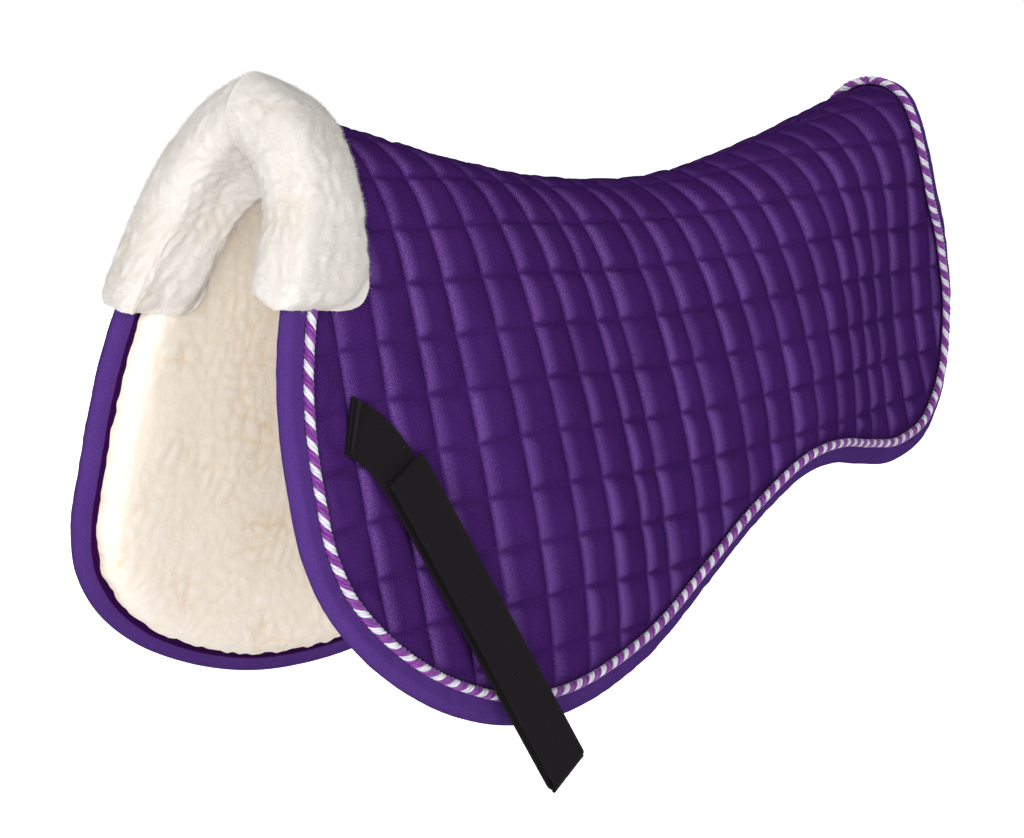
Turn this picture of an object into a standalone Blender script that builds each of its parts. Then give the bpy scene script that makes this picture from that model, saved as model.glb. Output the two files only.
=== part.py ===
"""Wither relief half pad: two quilted, fleece-lined halves sewn along a spine seam,
with a bound and corded edge, a fleece wither roll and a touch-tape girth strap.

Metres, +Z up, +X towards the rump, -Y is the horse's left side.
Every layer is cut flat, as a maker cuts it, and then laid over the back by drape():
in the flat, x runs along the spine, y is the distance down from the spine seam
and z is the height above the stitched level of the cover.
"""
import bpy
import bmesh
import numpy as np
from math import cos, pi, radians, sin, tan

# Cut sections of the back, front to rear: place along the spine, spine height,
# slope at the spine, slope of the side, width of the crown, curl of the flap's lower half
SECTIONS = (
    (0.000, 0.037, 32.0, 83.0, 0.049, -14.0),
    (0.080, 0.0225, 15.5, 79.0, 0.042, 0.0),
    (0.170, 0.001, 5.5, 71.5, 0.035, 19.0),
    (0.260, -0.014, 12.0, 72.0, 0.033, 24.0),
    (0.350, -0.0165, 15.0, 72.5, 0.034, 38.0),
    (0.440, -0.003, 9.0, 77.0, 0.034, 34.0),
    (0.536, 0.0185, 3.0, 96.0, 0.033, -22.0),
    (0.620, 0.036, 3.0, 104.0, 0.033, -40.0),
)
CROWN_POWER = 1.4
CURL_DEPTH = 0.268

# Edge of one half in the flat: distance along the spine, distance down from it
EDGE = (
    (0.044, 0.000), (0.041, 0.025), (0.033, 0.055), (0.021, 0.085), (0.012, 0.109),
    (0.004, 0.135), (-0.001, 0.162), (-0.002, 0.188), (-0.001, 0.212), (0.007, 0.236),
    (0.024, 0.257), (0.053, 0.277), (0.090, 0.289), (0.125, 0.292), (0.170, 0.286),
    (0.236, 0.261), (0.310, 0.225), (0.360, 0.203), (0.407, 0.193), (0.450, 0.198),
    (0.490, 0.211), (0.537, 0.225), (0.583, 0.223), (0.617, 0.199), (0.628, 0.160),
    (0.612, 0.112), (0.586, 0.069), (0.576, 0.040), (0.578, 0.020), (0.579, 0.000),
)
EDGE_STEP = 0.0155

# Box quilting
QUILT_PITCH = 0.025
QUILT_FIRST_COLUMN = 0.0633
QUILT_FIRST_ROW = 0.0264
QUILT_FAN = 0.142
QUILT_LEAN = 0.0065
QUILT_COLUMNS = (-5, 25)
QUILT_ROWS = (-3, 12)
CROWN_ROWS = (-3, 3)
PUFF_HEIGHT = 0.003
PUFF_FREE_EDGE = 0.020
PUFF_FADE = 0.012

# Layers
COVER = 0.0015
WADDING = 0.0060
LINING = 0.0083
LAYER_GAP = 0.0014
SPINE_GAP = 0.0009
EDGE_SETBACK = 0.0040
EDGE_PRESS = 0.45
PRESS_WIDTH = 0.030

# Edge binding and cord
BINDING_WIDTH = 0.0120
BINDING_TAPE = 0.0012
BINDING_GAP = 0.0014
CORD_DIAMETER = 0.0050
CORD_SEAT = 0.0012

# Wither roll
ROLL_LENGTH = 0.113
ROLL_REACH = 0.042
ROLL_FRONT = 0.0130
ROLL_BED_FRONT = 0.0066
ROLL_OUTER = 0.0135
ROLL_INNER = 0.0290
ROLL_CANT = 0.10
ROLL_STATIONS = 10
ROLL_PADDING = 0.0035
ROLL_GAP = 0.0013
ROLL_OUTER_SWELL = (1.12, 0.72)
ROLL_INNER_SWELL = (1.0, 0.35)
ROLL_FRONT_SWELL = (1.0, 0.55)
ROLL_REAR_TAPER = 0.45

# Spine seam
SEAM_TAPE = 0.0012
SEAM_DEPTH = 0.0135
SEAM_TOP = 0.0022
SEAM_INSET = 0.020

# Girth strap
STRAP_WIDTH = 0.027
STRAP_TAPE = 0.0015
TOUCH_TAPE = 0.0010
STRAP_ROOT = (0.0355, 0.1570)
STRAP_HEADINGS = (20.0, 57.8)
STRAP_TURN = 0.028
STRAP_LENGTH = 0.196
STRAP_HEIGHT = 0.0026
STRAP_LIFT = 0.0024
STRAP_TIP = 0.0315
STRAP_STRAIGHT = 0.160
STRAP_STEP = 0.014
STRAP_GAP = 0.0004
TOUCH_TAPE_WIDTH = 0.025
BAR_TACK_FROM = 0.0015
BAR_TACK_TO = 0.0035
BAR_TACK_HEIGHT = 0.0006

# Row frame: the origin is the underside of the spine at its lowest part
ORIGIN_ALONG = 0.305

# Each half opens about a line just above the highest point of the seam
OPEN_AXIS_HEIGHT = 0.078

STACK = COVER + LAYER_GAP + WADDING + LAYER_GAP + LINING
NEAR, FAR = -1, 1
SIDES = (("left", NEAR), ("right", FAR))


def section_value(column, along):
    """Smooth value of one column of SECTIONS at each place along the spine."""
    stations = np.array([row[0] for row in SECTIONS])
    values = np.array([row[column] for row in SECTIONS])
    slopes = np.gradient(values, stations)
    k = np.clip(np.searchsorted(stations, along) - 1, 0, len(stations) - 2)
    gap = stations[k + 1] - stations[k]
    u = (along - stations[k]) / gap
    return (values[k] * (2 * u ** 3 - 3 * u ** 2 + 1)
            + gap * slopes[k] * (u ** 3 - 2 * u ** 2 + u)
            + values[k + 1] * (3 * u ** 2 - 2 * u ** 3)
            + gap * slopes[k + 1] * (u ** 3 - u ** 2))


def stitched_surface(along, down, side):
    """World points of the cover's stitched level, without its origin shift."""
    spine_slope = np.radians(section_value(2, along))
    side_slope = np.radians(section_value(3, along))
    crown = section_value(4, along)
    curl = np.radians(section_value(5, along))
    run = np.linspace(0.0, 1.0, 33)[:, None] * down[None, :]
    turned = 1.0 - np.exp(-(np.maximum(run, 0.0) / crown) ** CROWN_POWER)
    slope = spine_slope + (side_slope - spine_slope) * turned + curl * (run / CURL_DEPTH) ** 2
    out = np.trapz(np.cos(slope), run, axis=0)
    fall = np.trapz(np.sin(slope), run, axis=0)
    height = section_value(1, along)
    return np.stack([along, side * out, height - fall], axis=1)


def drape(points, side):
    """Lay flat points (along, down, height) over the back on one side of the spine."""
    along, down, height = points[:, 0], points[:, 1], points[:, 2]
    lean = np.tan(np.radians(section_value(2, along)))
    shift = 1.5 * np.maximum(-height, 0.0) - np.maximum(height, 0.0)
    down = down + shift * lean * np.exp(-down / 0.030)
    step = 0.0005
    base = stitched_surface(along, down, side)
    ahead = (stitched_surface(along + step, down, side)
             - stitched_surface(along - step, down, side))
    below = (stitched_surface(along, down + step, side)
             - stitched_surface(along, down - step, side))
    normal = np.cross(ahead, below) * side
    normal /= np.linalg.norm(normal, axis=1)[:, None]
    lowest = float(section_value(1, np.array([ORIGIN_ALONG]))[0])
    placed = base + normal * height[:, None] + np.array([-ORIGIN_ALONG, 0.0, STACK - lowest])
    placed[:, 1] = side * np.maximum(side * placed[:, 1], SPINE_GAP)
    return placed


def smooth_path(points, step):
    """Points about one step apart along a smooth line through the given ones."""
    pts = np.array(points)
    chord = np.concatenate([[0.0], np.cumsum(np.linalg.norm(np.diff(pts, axis=0), axis=1))])
    tangent = np.gradient(pts, chord, axis=0)
    tangent[0] = (0.0, 1.0)
    tangent[-1] = (0.0, -1.0)
    fine = np.linspace(0.0, chord[-1], 1201)
    k = np.clip(np.searchsorted(chord, fine) - 1, 0, len(chord) - 2)
    gap = (chord[k + 1] - chord[k])[:, None]
    u = ((fine - chord[k])[:, None]) / gap
    line = (pts[k] * (2 * u ** 3 - 3 * u ** 2 + 1)
            + gap * tangent[k] * (u ** 3 - 2 * u ** 2 + u)
            + pts[k + 1] * (3 * u ** 2 - 2 * u ** 3)
            + gap * tangent[k + 1] * (u ** 3 - u ** 2))
    length = np.concatenate([[0.0], np.cumsum(np.linalg.norm(np.diff(line, axis=0), axis=1))])
    count = int(round(length[-1] / step)) + 1
    even = np.linspace(0.0, length[-1], count)
    return np.stack([np.interp(even, length, line[:, 0]), np.interp(even, length, line[:, 1])], 1)


def inset_path(path, distance):
    """The path moved towards the middle of the half by a distance."""
    tangent = np.gradient(path, axis=0)
    tangent /= np.linalg.norm(tangent, axis=1)[:, None]
    tangent[0] = (0.0, 1.0)
    tangent[-1] = (0.0, -1.0)
    inward = np.stack([tangent[:, 1], -tangent[:, 0]], 1)
    return path + inward * distance


def edge_distance(along, down):
    """Distance from each flat point to the edge of the half."""
    points = np.stack([along, down], 1)
    return np.min(np.linalg.norm(points[:, None, :] - EDGE_PATH[None, :, :], axis=2), axis=1)


EDGE_PATH = smooth_path(EDGE, EDGE_STEP)


def material(name, color, roughness):
    mat = bpy.data.materials.new(name)
    mat.use_nodes = True
    shader = mat.node_tree.nodes["Principled BSDF"]
    shader.inputs["Base Color"].default_value = (*color, 1.0)
    shader.inputs["Roughness"].default_value = roughness
    shader.inputs["Metallic"].default_value = 0.0
    return mat


def new_object(name, mesh, collection):
    obj = bpy.data.objects.new(name, mesh)
    collection.objects.link(obj)
    return obj


def mesh_from_curve(curve_object):
    """A welded mesh of a curve object, which is then removed."""
    bpy.context.view_layer.update()
    evaluated = curve_object.evaluated_get(bpy.context.evaluated_depsgraph_get())
    mesh = bpy.data.meshes.new_from_object(evaluated)
    bm = bmesh.new()
    bm.from_mesh(mesh)
    bmesh.ops.remove_doubles(bm, verts=bm.verts, dist=0.000005)
    bm.to_mesh(mesh)
    bm.free()
    bpy.data.objects.remove(curve_object)
    return mesh


def poly_curve(name, points, cyclic):
    """A curve with one straight-sided spline through the points."""
    curve = bpy.data.curves.new(name, "CURVE")
    curve.dimensions = "3D" if len(points[0]) == 3 else "2D"
    spline = curve.splines.new("POLY")
    spline.points.add(len(points) - 1)
    for knot, point in zip(spline.points, points):
        knot.co = (*point, 0.0, 1.0) if len(point) == 2 else (*point, 1.0)
    spline.use_cyclic_u = cyclic
    return curve


def flat_blank(name, inset):
    """Cutter: the outline of one half, drawn in from its edge, as a thick blank."""
    path = inset_path(EDGE_PATH, inset)
    path[:, 1] = np.maximum(path[:, 1], SPINE_GAP)
    curve = poly_curve(name, [tuple(p) for p in path], True)
    curve.fill_mode = "BOTH"
    curve.extrude = 0.05
    obj = new_object(name, curve, CUTTERS)
    cutter = new_object(name, mesh_from_curve(obj), CUTTERS)
    cutter.hide_render = True
    cutter.display_type = "WIRE"
    return cutter


def quilt_to_flat(column, row):
    """Flat place of a point of the quilting grid."""
    down = QUILT_FIRST_ROW + QUILT_PITCH * row
    share = down / CURL_DEPTH
    along = (QUILT_FIRST_COLUMN + QUILT_LEAN * share
             + QUILT_PITCH * column * (1.0 + QUILT_FAN * share))
    return along, down + section_value(1, along)


def quilted_slab(name, top, bottom, inset, puffed):
    """Flat mesh of one layer, with its seams on the quilting grid."""
    columns = (QUILT_COLUMNS[1] - QUILT_COLUMNS[0]) // 2
    rows = QUILT_ROWS[1] - QUILT_ROWS[0]
    bm = bmesh.new()
    bmesh.ops.create_grid(bm, x_segments=columns, y_segments=rows, size=0.5)
    for vert in bm.verts:
        vert.co.x = QUILT_COLUMNS[0] + 2 * round((vert.co.x + 0.5) * columns)
        vert.co.y = QUILT_ROWS[0] + round((vert.co.y + 0.5) * rows)
    lower = bmesh.ops.extrude_face_region(bm, geom=bm.faces[:])["geom"]
    for vert in [item for item in lower if isinstance(item, bmesh.types.BMVert)]:
        vert.co.z = -1.0
    if puffed:
        upper = [face for face in bm.faces if face.calc_center_median().z > -0.01]
        for column in range(QUILT_COLUMNS[0] + 1, QUILT_COLUMNS[1], 2):
            around = {item for face in upper for item in (face, *face.edges, *face.verts)}
            bmesh.ops.bisect_plane(bm, geom=list(around), plane_co=(column, 0.0, 0.0),
                                   plane_no=(1.0, 0.0, 0.0))
            upper = [face for face in bm.faces if face.calc_center_median().z > -0.01]
        for vert in bmesh.ops.poke(bm, faces=upper)["verts"]:
            vert.co.z = 1.0
    for row in range(CROWN_ROWS[0], CROWN_ROWS[1]):
        bmesh.ops.bisect_plane(bm, geom=bm.verts[:] + bm.edges[:] + bm.faces[:], dist=0.0001,
                               plane_co=(0.0, row + 0.5, 0.0), plane_no=(0.0, 1.0, 0.0))
    bmesh.ops.triangulate(bm, faces=bm.faces, quad_method="FIXED")
    grid = np.array([vert.co[:] for vert in bm.verts])
    along, down = quilt_to_flat(grid[:, 0], grid[:, 1])
    room = (edge_distance(along, down) - PUFF_FREE_EDGE) / PUFF_FADE
    rise = PUFF_HEIGHT * np.clip(room, 0.0, 1.0) * np.maximum(grid[:, 2], 0.0)
    for vert, x, y, up in zip(bm.verts, along, down, rise):
        vert.co = (x, y, bottom if vert.co.z < -0.5 else top + up)
    bm.normal_update()
    bmesh.ops.recalc_face_normals(bm, faces=bm.faces)
    mesh = bpy.data.meshes.new(name)
    bm.to_mesh(mesh)
    bm.free()
    slab = new_object(name, mesh, CUTTERS)
    cut = slab.modifiers.new("outline", "BOOLEAN")
    cut.operation = "INTERSECT"
    cut.solver = "EXACT"
    cut.object = flat_blank(name + "_blank", inset)
    bpy.context.view_layer.update()
    evaluated = slab.evaluated_get(bpy.context.evaluated_depsgraph_get())
    flat = bpy.data.meshes.new_from_object(evaluated)
    bpy.data.objects.remove(slab)
    return flat


def swept_profile(name, path, profile):
    """Flat mesh of a closed profile (distance in from the path, height) swept along it."""
    outline = poly_curve(name + "_profile", [tuple(p) for p in profile], True)
    section = new_object(name + "_profile", outline, CUTTERS)
    curve = poly_curve(name, [tuple(p) for p in path], False)
    curve.bevel_mode = "OBJECT"
    curve.bevel_object = section
    curve.use_fill_caps = True
    mesh = mesh_from_curve(new_object(name, curve, CUTTERS))
    bpy.data.objects.remove(section)
    for vert in mesh.vertices:
        vert.co.y = max(vert.co.y, SPINE_GAP)
    return mesh


def laid(name, flat, side, mat):
    """A named object from a flat mesh, draped over one side of the back."""
    bm = bmesh.new()
    bm.from_mesh(flat)
    bmesh.ops.remove_doubles(bm, verts=bm.verts, dist=0.000002)
    bmesh.ops.triangulate(bm, faces=bm.faces)
    flat_points = np.array([vert.co[:] for vert in bm.verts])
    ramp = np.minimum(edge_distance(flat_points[:, 0], flat_points[:, 1]) / PRESS_WIDTH, 1.0)
    pressed = 1.0 - EDGE_PRESS * (1.0 - ramp)
    flat_points[:, 2] *= np.where(flat_points[:, 2] < 0.0, pressed, 1.0)
    for vert, place in zip(bm.verts, drape(flat_points, side)):
        vert.co = place
    bm.normal_update()
    bmesh.ops.recalc_face_normals(bm, faces=bm.faces)
    mesh = bpy.data.meshes.new(name)
    bm.to_mesh(mesh)
    bm.free()
    mesh.materials.append(mat)
    return new_object(name, mesh, PAD)


def binding_profile():
    """U of tape round the edge: outer leg, edge, inner leg, and back along the inside."""
    upper = BINDING_GAP
    lower = -(COVER + LAYER_GAP + WADDING) - BINDING_GAP
    middle = (upper + lower) / 2
    half = (upper - lower) / 2
    nose = 0.35 * half
    outer = []
    for k in range(5):
        angle = pi / 2 + pi * k / 4
        outer.append((nose * (1.0 + cos(angle)), middle + (half + BINDING_TAPE) * sin(angle)))
    inner = [(nose + BINDING_TAPE, upper), (BINDING_TAPE, middle), (nose + BINDING_TAPE, lower)]
    shell = [(BINDING_WIDTH, upper + BINDING_TAPE)] + outer + [(BINDING_WIDTH, lower - BINDING_TAPE)]
    lining = [(BINDING_WIDTH, lower)] + inner[::-1] + [(BINDING_WIDTH, upper)]
    return shell + lining


def roll_profile(outer_face, inner_face, outer_bed, inner_bed, front, bed_front):
    """Thick U over the front edge, in (distance in from the edge, height)."""
    bend = 0.008
    shell = [(ROLL_REACH, outer_bed + 0.25 * (outer_face - outer_bed)),
             (ROLL_REACH - 0.004, outer_face - 0.002), (ROLL_REACH - 0.012, outer_face)]
    middle = (outer_face + inner_face) / 2
    half = (outer_face - inner_face) / 2
    for k in range(7):
        angle = pi / 2 + pi * k / 6
        shell.append((bend + (bend + front) * cos(angle), middle + half * sin(angle)))
    shell += [(ROLL_REACH - 0.012, inner_face), (ROLL_REACH - 0.004, inner_face + 0.002),
              (ROLL_REACH, inner_bed + 0.25 * (inner_face - inner_bed))]
    bed_middle = (outer_bed + inner_bed) / 2
    bed_half = (outer_bed - inner_bed) / 2
    bed = [(ROLL_REACH - 0.001, inner_bed), (ROLL_REACH - 0.012, inner_bed)]
    for k in range(6, -1, -1):
        angle = pi / 2 + pi * k / 6
        bed.append((bend + (bend + bed_front) * cos(angle), bed_middle + bed_half * sin(angle)))
    bed += [(ROLL_REACH - 0.012, outer_bed), (ROLL_REACH - 0.001, outer_bed)]
    return shell + bed


def part_way(ends, share):
    return ends[0] + (ends[1] - ends[0]) * share


def roll_layer(name, profile):
    """Flat mesh of a roll profile carried down the front edge, thinner towards its end."""
    outer_bed, inner_bed = PUFF_HEIGHT + ROLL_GAP, -STACK - ROLL_GAP
    curve = poly_curve(name, profile, True)
    curve.fill_mode = "BOTH"
    curve.extrude = 0.5
    bm = bmesh.new()
    bm.from_mesh(mesh_from_curve(new_object(name, curve, CUTTERS)))
    for k in range(1, ROLL_STATIONS):
        bmesh.ops.bisect_plane(bm, geom=bm.verts[:] + bm.edges[:] + bm.faces[:], dist=0.00001,
                               plane_co=(0.0, 0.0, k / ROLL_STATIONS - 0.5),
                               plane_no=(0.0, 0.0, 1.0))
    for vert in bm.verts:
        inward, height, share = vert.co.x, vert.co.y, vert.co.z + 0.5
        down = SPINE_GAP + (ROLL_LENGTH - SPINE_GAP) * share
        edge = float(np.interp(down, EDGE_PATH[:12, 1], EDGE_PATH[:12, 0]))
        if height > outer_bed:
            swell = part_way(ROLL_OUTER_SWELL, share)
            swell *= 1.0 - ROLL_REAR_TAPER * min(max(inward / ROLL_REACH, 0.0), 1.0)
            height = outer_bed + (height - outer_bed) * swell
        if height < inner_bed:
            height = inner_bed + (height - inner_bed) * part_way(ROLL_INNER_SWELL, share)
        if inward < 0.0:
            inward *= part_way(ROLL_FRONT_SWELL, share)
        vert.co = (edge + inward, down - ROLL_CANT * inward * share, height)
    mesh = bpy.data.meshes.new(name)
    bm.to_mesh(mesh)
    bm.free()
    return mesh


def cord_path():
    """Centre line of the cord, from the lower end of the roll round to the spine."""
    inset = BINDING_WIDTH + CORD_DIAMETER / 2 + 0.0003
    path = inset_path(EDGE_PATH, inset)
    length = np.concatenate([[0.0], np.cumsum(np.linalg.norm(np.diff(EDGE_PATH, axis=0), axis=1))])
    path = path[length > ROLL_LENGTH + 0.004]
    path[-1, 1] = SPINE_GAP
    height = np.full((len(path), 1), CORD_SEAT + CORD_DIAMETER / 2)
    return np.concatenate([path, height], axis=1)


def cord_mesh():
    curve = poly_curve("cord", [tuple(p) for p in cord_path()], False)
    curve.bevel_depth = CORD_DIAMETER / 2
    curve.bevel_resolution = 2
    curve.use_fill_caps = True
    return mesh_from_curve(new_object("cord", curve, CUTTERS))


def strap_line(held):
    """Flat centre line of the strap, which swings round just below its seam, and its heading."""
    run = np.linspace(0.0, 1.0, 33)[:, None] * held[None, :]
    first, last = np.radians(STRAP_HEADINGS)
    angle = last + (first - last) * np.clip(1.0 - run / STRAP_TURN, 0.0, 1.0)
    along = STRAP_ROOT[0] + np.trapz(np.cos(angle), run, axis=0)
    down = STRAP_ROOT[1] + np.trapz(np.sin(angle), run, axis=0)
    return np.stack([along, down], 1), np.stack([np.cos(angle[-1]), np.sin(angle[-1])], 1)


def strap_bed(held, across, lift, side):
    middle, heading = strap_line(held)
    sideways = np.stack([heading[:, 1], -heading[:, 0]], 1)
    return drape(np.column_stack([middle + sideways * across[:, None], lift]), side)


def strap_frame(distance, rise, across, side):
    """World points of the strap: distance from its root, rise above its bed, place across it."""
    straight_from = STRAP_LENGTH - STRAP_STRAIGHT
    held = np.minimum(distance, straight_from)
    lift = STRAP_HEIGHT + STRAP_LIFT * np.clip(held / straight_from, 0.0, 1.0) ** 2
    base = strap_bed(held, across, lift, side)
    up = strap_bed(held, across * 0.0, lift + 0.001, side) - strap_bed(held, across * 0.0, lift, side)
    up /= np.linalg.norm(up, axis=1)[:, None]
    last = np.full(4, straight_from) - np.array([0.0, 0.0, 0.004, 0.0])
    offset = np.array([-0.5, 0.5, 0.0, 0.0]) * STRAP_WIDTH
    left, right, behind, middle = strap_bed(last, offset, np.full(4, STRAP_HEIGHT + STRAP_LIFT), side)
    wide = (right - left) / STRAP_WIDTH
    ahead = middle - behind
    ahead -= wide * np.dot(ahead, wide) / np.dot(wide, wide)
    ahead /= np.linalg.norm(ahead)
    flat_up = np.cross(wide, ahead) * side
    flat_up /= np.linalg.norm(flat_up)
    beyond = distance - straight_from
    plane = middle + ahead * beyond[:, None] + wide * across[:, None]
    hanging = (beyond > 0.0)[:, None]
    return np.where(hanging, plane + flat_up * rise[:, None], base + up * rise[:, None])


STRAP_STACK = 2 * STRAP_TAPE + 2 * TOUCH_TAPE + 3 * STRAP_GAP


def strap_profile(start, end, low, high, turned):
    """Side view of one strap layer: distance along it and rise, with a quarter turn if asked."""
    straight_from = STRAP_LENGTH - STRAP_STRAIGHT
    shared = [k * STRAP_STEP for k in range(int(straight_from / STRAP_STEP))]
    shared += [straight_from, straight_from + 0.003]
    run = [start] + [v for v in shared if start + 0.001 < v < end - 0.001] + [end]
    lower = [(v, low) for v in run]
    upper = [(v, high) for v in run[::-1]]
    if not turned:
        return lower + upper
    centre = STRAP_STACK / 2
    sign = 1.0 if low < centre else -1.0
    radius_out = centre
    radius_in = centre - STRAP_TAPE
    steps = [k / 3.0 for k in range(1, 4)]
    foot = 0.00015 * sign
    near = [(end + radius_out * sin(s * pi / 2),
             centre - sign * radius_out * cos(s * pi / 2) - foot * s) for s in steps]
    back = [(end + radius_in * sin(s * pi / 2),
             centre - sign * radius_in * cos(s * pi / 2) - foot * s) for s in steps[::-1]]
    if sign > 0:
        return lower + near + back + upper
    return lower + [(x, y) for x, y in back[::-1]] + [(x, y) for x, y in near[::-1]] + upper


def strap_layer(name, profile, width, side, mat):
    curve = poly_curve(name, profile, True)
    curve.fill_mode = "BOTH"
    curve.extrude = width / 2
    flat = mesh_from_curve(new_object(name, curve, CUTTERS))
    bm = bmesh.new()
    bm.from_mesh(flat)
    for place in sorted({point[0] for point in profile}):
        bmesh.ops.bisect_plane(bm, geom=bm.verts[:] + bm.edges[:] + bm.faces[:], dist=0.00001,
                               plane_co=(place, 0.0, 0.0), plane_no=(1.0, 0.0, 0.0))
    local = np.array([vert.co[:] for vert in bm.verts])
    for vert in bm.verts:
        vert.co.x += 0.3 * vert.co.z
    bmesh.ops.triangulate(bm, faces=bm.faces, quad_method="SHORT_EDGE")
    for vert, place in zip(bm.verts, strap_frame(local[:, 0], local[:, 1], local[:, 2], side)):
        vert.co = place
    bm.normal_update()
    bmesh.ops.recalc_face_normals(bm, faces=bm.faces)
    mesh = bpy.data.meshes.new(name)
    bm.to_mesh(mesh)
    bm.free()
    mesh.materials.append(mat)
    return new_object(name, mesh, PAD)


def spine_seam():
    """The seam allowances of the two halves, bound together in a tape that stands on edge."""
    along = np.linspace(EDGE[0][0] + SEAM_INSET, EDGE[-1][0] - SEAM_INSET, 29)
    lowest = float(section_value(1, np.array([ORIGIN_ALONG]))[0])
    height = section_value(1, along) + STACK - lowest
    top = [(float(x - ORIGIN_ALONG), float(z - SEAM_TOP)) for x, z in zip(along, height)]
    bottom = [(x, z - SEAM_DEPTH) for x, z in top[::-1]]
    curve = poly_curve("spine_seam_tape", top + bottom, True)
    curve.fill_mode = "BOTH"
    curve.extrude = SEAM_TAPE / 2
    mesh = mesh_from_curve(new_object("spine_seam_tape", curve, CUTTERS))
    bm = bmesh.new()
    bm.from_mesh(mesh)
    for vert in bm.verts:
        vert.co = (vert.co.x, -vert.co.z, vert.co.y)
    bm.normal_update()
    bmesh.ops.recalc_face_normals(bm, faces=bm.faces)
    bm.to_mesh(mesh)
    bm.free()
    mesh.materials.append(FINISH["seam_tape"])
    return new_object("spine_seam_tape", mesh, PAD)


def joint_empty(name, place):
    empty = bpy.data.objects.new(name, None)
    empty.location = place
    PAD.objects.link(empty)
    return empty


def carried_by(empty, pieces):
    bpy.context.view_layer.update()
    for piece in pieces:
        piece.parent = empty
        piece.matrix_parent_inverse = empty.matrix_world.inverted()


for old in list(bpy.data.objects):
    bpy.data.objects.remove(old, do_unlink=True)
PAD = bpy.data.collections.new("wither_relief_half_pad")
CUTTERS = bpy.data.collections.new("cutters")
bpy.context.scene.collection.children.link(PAD)
bpy.context.scene.collection.children.link(CUTTERS)

FINISH = {
    "twill": material("purple_twill", (0.075, 0.022, 0.21), 0.75),
    "wadding": material("wadding", (0.75, 0.75, 0.74), 0.95),
    "sherpa": material("cream_sherpa", (0.86, 0.74, 0.60), 0.95),
    "roll": material("roll_sherpa", (0.86, 0.82, 0.76), 0.95),
    "foam": material("roll_padding", (0.70, 0.70, 0.68), 0.95),
    "binding": material("purple_binding", (0.10, 0.04, 0.30), 0.7),
    "cord": material("two_colour_cord", (0.45, 0.20, 0.50), 0.6),
    "seam_tape": material("seam_tape", (0.08, 0.03, 0.22), 0.8),
    "webbing": material("black_webbing", (0.018, 0.017, 0.017), 0.8),
    "thread": material("black_thread", (0.03, 0.03, 0.03), 0.6),
    "touch_tape": material("black_touch_tape", (0.012, 0.012, 0.012), 0.9),
}

wadding_top = -COVER - LAYER_GAP
wadding_bottom = wadding_top - WADDING
lining_top = wadding_bottom - LAYER_GAP
lining_inset = BINDING_WIDTH + LAYER_GAP
roll_bed = PUFF_HEIGHT + ROLL_GAP
roll_under = -STACK - ROLL_GAP

FLAT = {
    "quilted_cover": quilted_slab("cover", 0.0, -COVER, EDGE_SETBACK, True),
    "wadding": quilted_slab("wadding", wadding_top, wadding_bottom, EDGE_SETBACK, False),
    "fleece_lining": quilted_slab("lining", lining_top, -STACK, lining_inset, False),
    "edge_binding": swept_profile("binding", EDGE_PATH, binding_profile()),
    "piping_cord": cord_mesh(),
    "roll_padding": roll_layer("padding", roll_profile(
        roll_bed + ROLL_PADDING, roll_under - ROLL_PADDING, roll_bed, roll_under,
        ROLL_BED_FRONT + ROLL_PADDING, ROLL_BED_FRONT)),
    "wither_roll": roll_layer("roll", roll_profile(
        ROLL_OUTER, -ROLL_INNER, roll_bed + ROLL_PADDING + ROLL_GAP,
        roll_under - ROLL_PADDING - ROLL_GAP, ROLL_FRONT,
        ROLL_BED_FRONT + ROLL_PADDING + ROLL_GAP)),
}
LAYER_FINISH = {
    "quilted_cover": "twill", "wadding": "wadding", "fleece_lining": "sherpa",
    "edge_binding": "binding", "piping_cord": "cord", "roll_padding": "foam",
    "wither_roll": "roll",
}

spine_seam()
open_axis = {}
for side_name, side in SIDES:
    pieces = [laid(side_name + "_" + layer, flat, side, FINISH[LAYER_FINISH[layer]])
              for layer, flat in FLAT.items()]
    open_axis[side] = joint_empty(side_name + "_open_axis", (0.0, 0.0, OPEN_AXIS_HEIGHT))
    carried_by(open_axis[side], pieces)

hook_low = STRAP_TAPE + STRAP_GAP
loop_low = hook_low + TOUCH_TAPE + STRAP_GAP
webbing = strap_layer("strap_webbing", strap_profile(
    0.0, STRAP_LENGTH, 0.0, STRAP_TAPE, True), STRAP_WIDTH, NEAR, FINISH["webbing"])
bar_tack = strap_layer("strap_bar_tack", strap_profile(
    BAR_TACK_FROM, BAR_TACK_TO, hook_low, hook_low + BAR_TACK_HEIGHT, False),
    TOUCH_TAPE_WIDTH, NEAR, FINISH["thread"])
hook = strap_layer("hook_tape", strap_profile(
    STRAP_TIP + 0.006, STRAP_LENGTH - 0.003, hook_low, hook_low + TOUCH_TAPE, False),
    TOUCH_TAPE_WIDTH, NEAR, FINISH["touch_tape"])
loop = strap_layer("loop_tape", strap_profile(
    STRAP_TIP + 0.004, STRAP_LENGTH - 0.003, loop_low, loop_low + TOUCH_TAPE, False),
    TOUCH_TAPE_WIDTH, NEAR, FINISH["touch_tape"])
tail = strap_layer("strap_tail", strap_profile(
    STRAP_TIP, STRAP_LENGTH, STRAP_STACK - STRAP_TAPE, STRAP_STACK, True),
    STRAP_WIDTH, NEAR, FINISH["webbing"])
ends = np.array([-1.0, 1.0]) * STRAP_WIDTH / 2
root = strap_frame(np.zeros(2), np.zeros(2), ends, NEAR)
toe = strap_frame(np.full(2, STRAP_LENGTH + STRAP_STACK / 2), np.full(2, STRAP_STACK / 2), ends, NEAR)
strap_axis = joint_empty("strap_axis", tuple(root.mean(axis=0)))
tail_axis = joint_empty("tail_axis", tuple(toe.mean(axis=0)))
carried_by(open_axis[NEAR], [strap_axis])
carried_by(strap_axis, [webbing, bar_tack, hook, tail_axis])
carried_by(tail_axis, [loop, tail])
for leftover in list(CUTTERS.objects):
    leftover.hide_render = True
    leftover.display_type = "WIRE"
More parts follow.
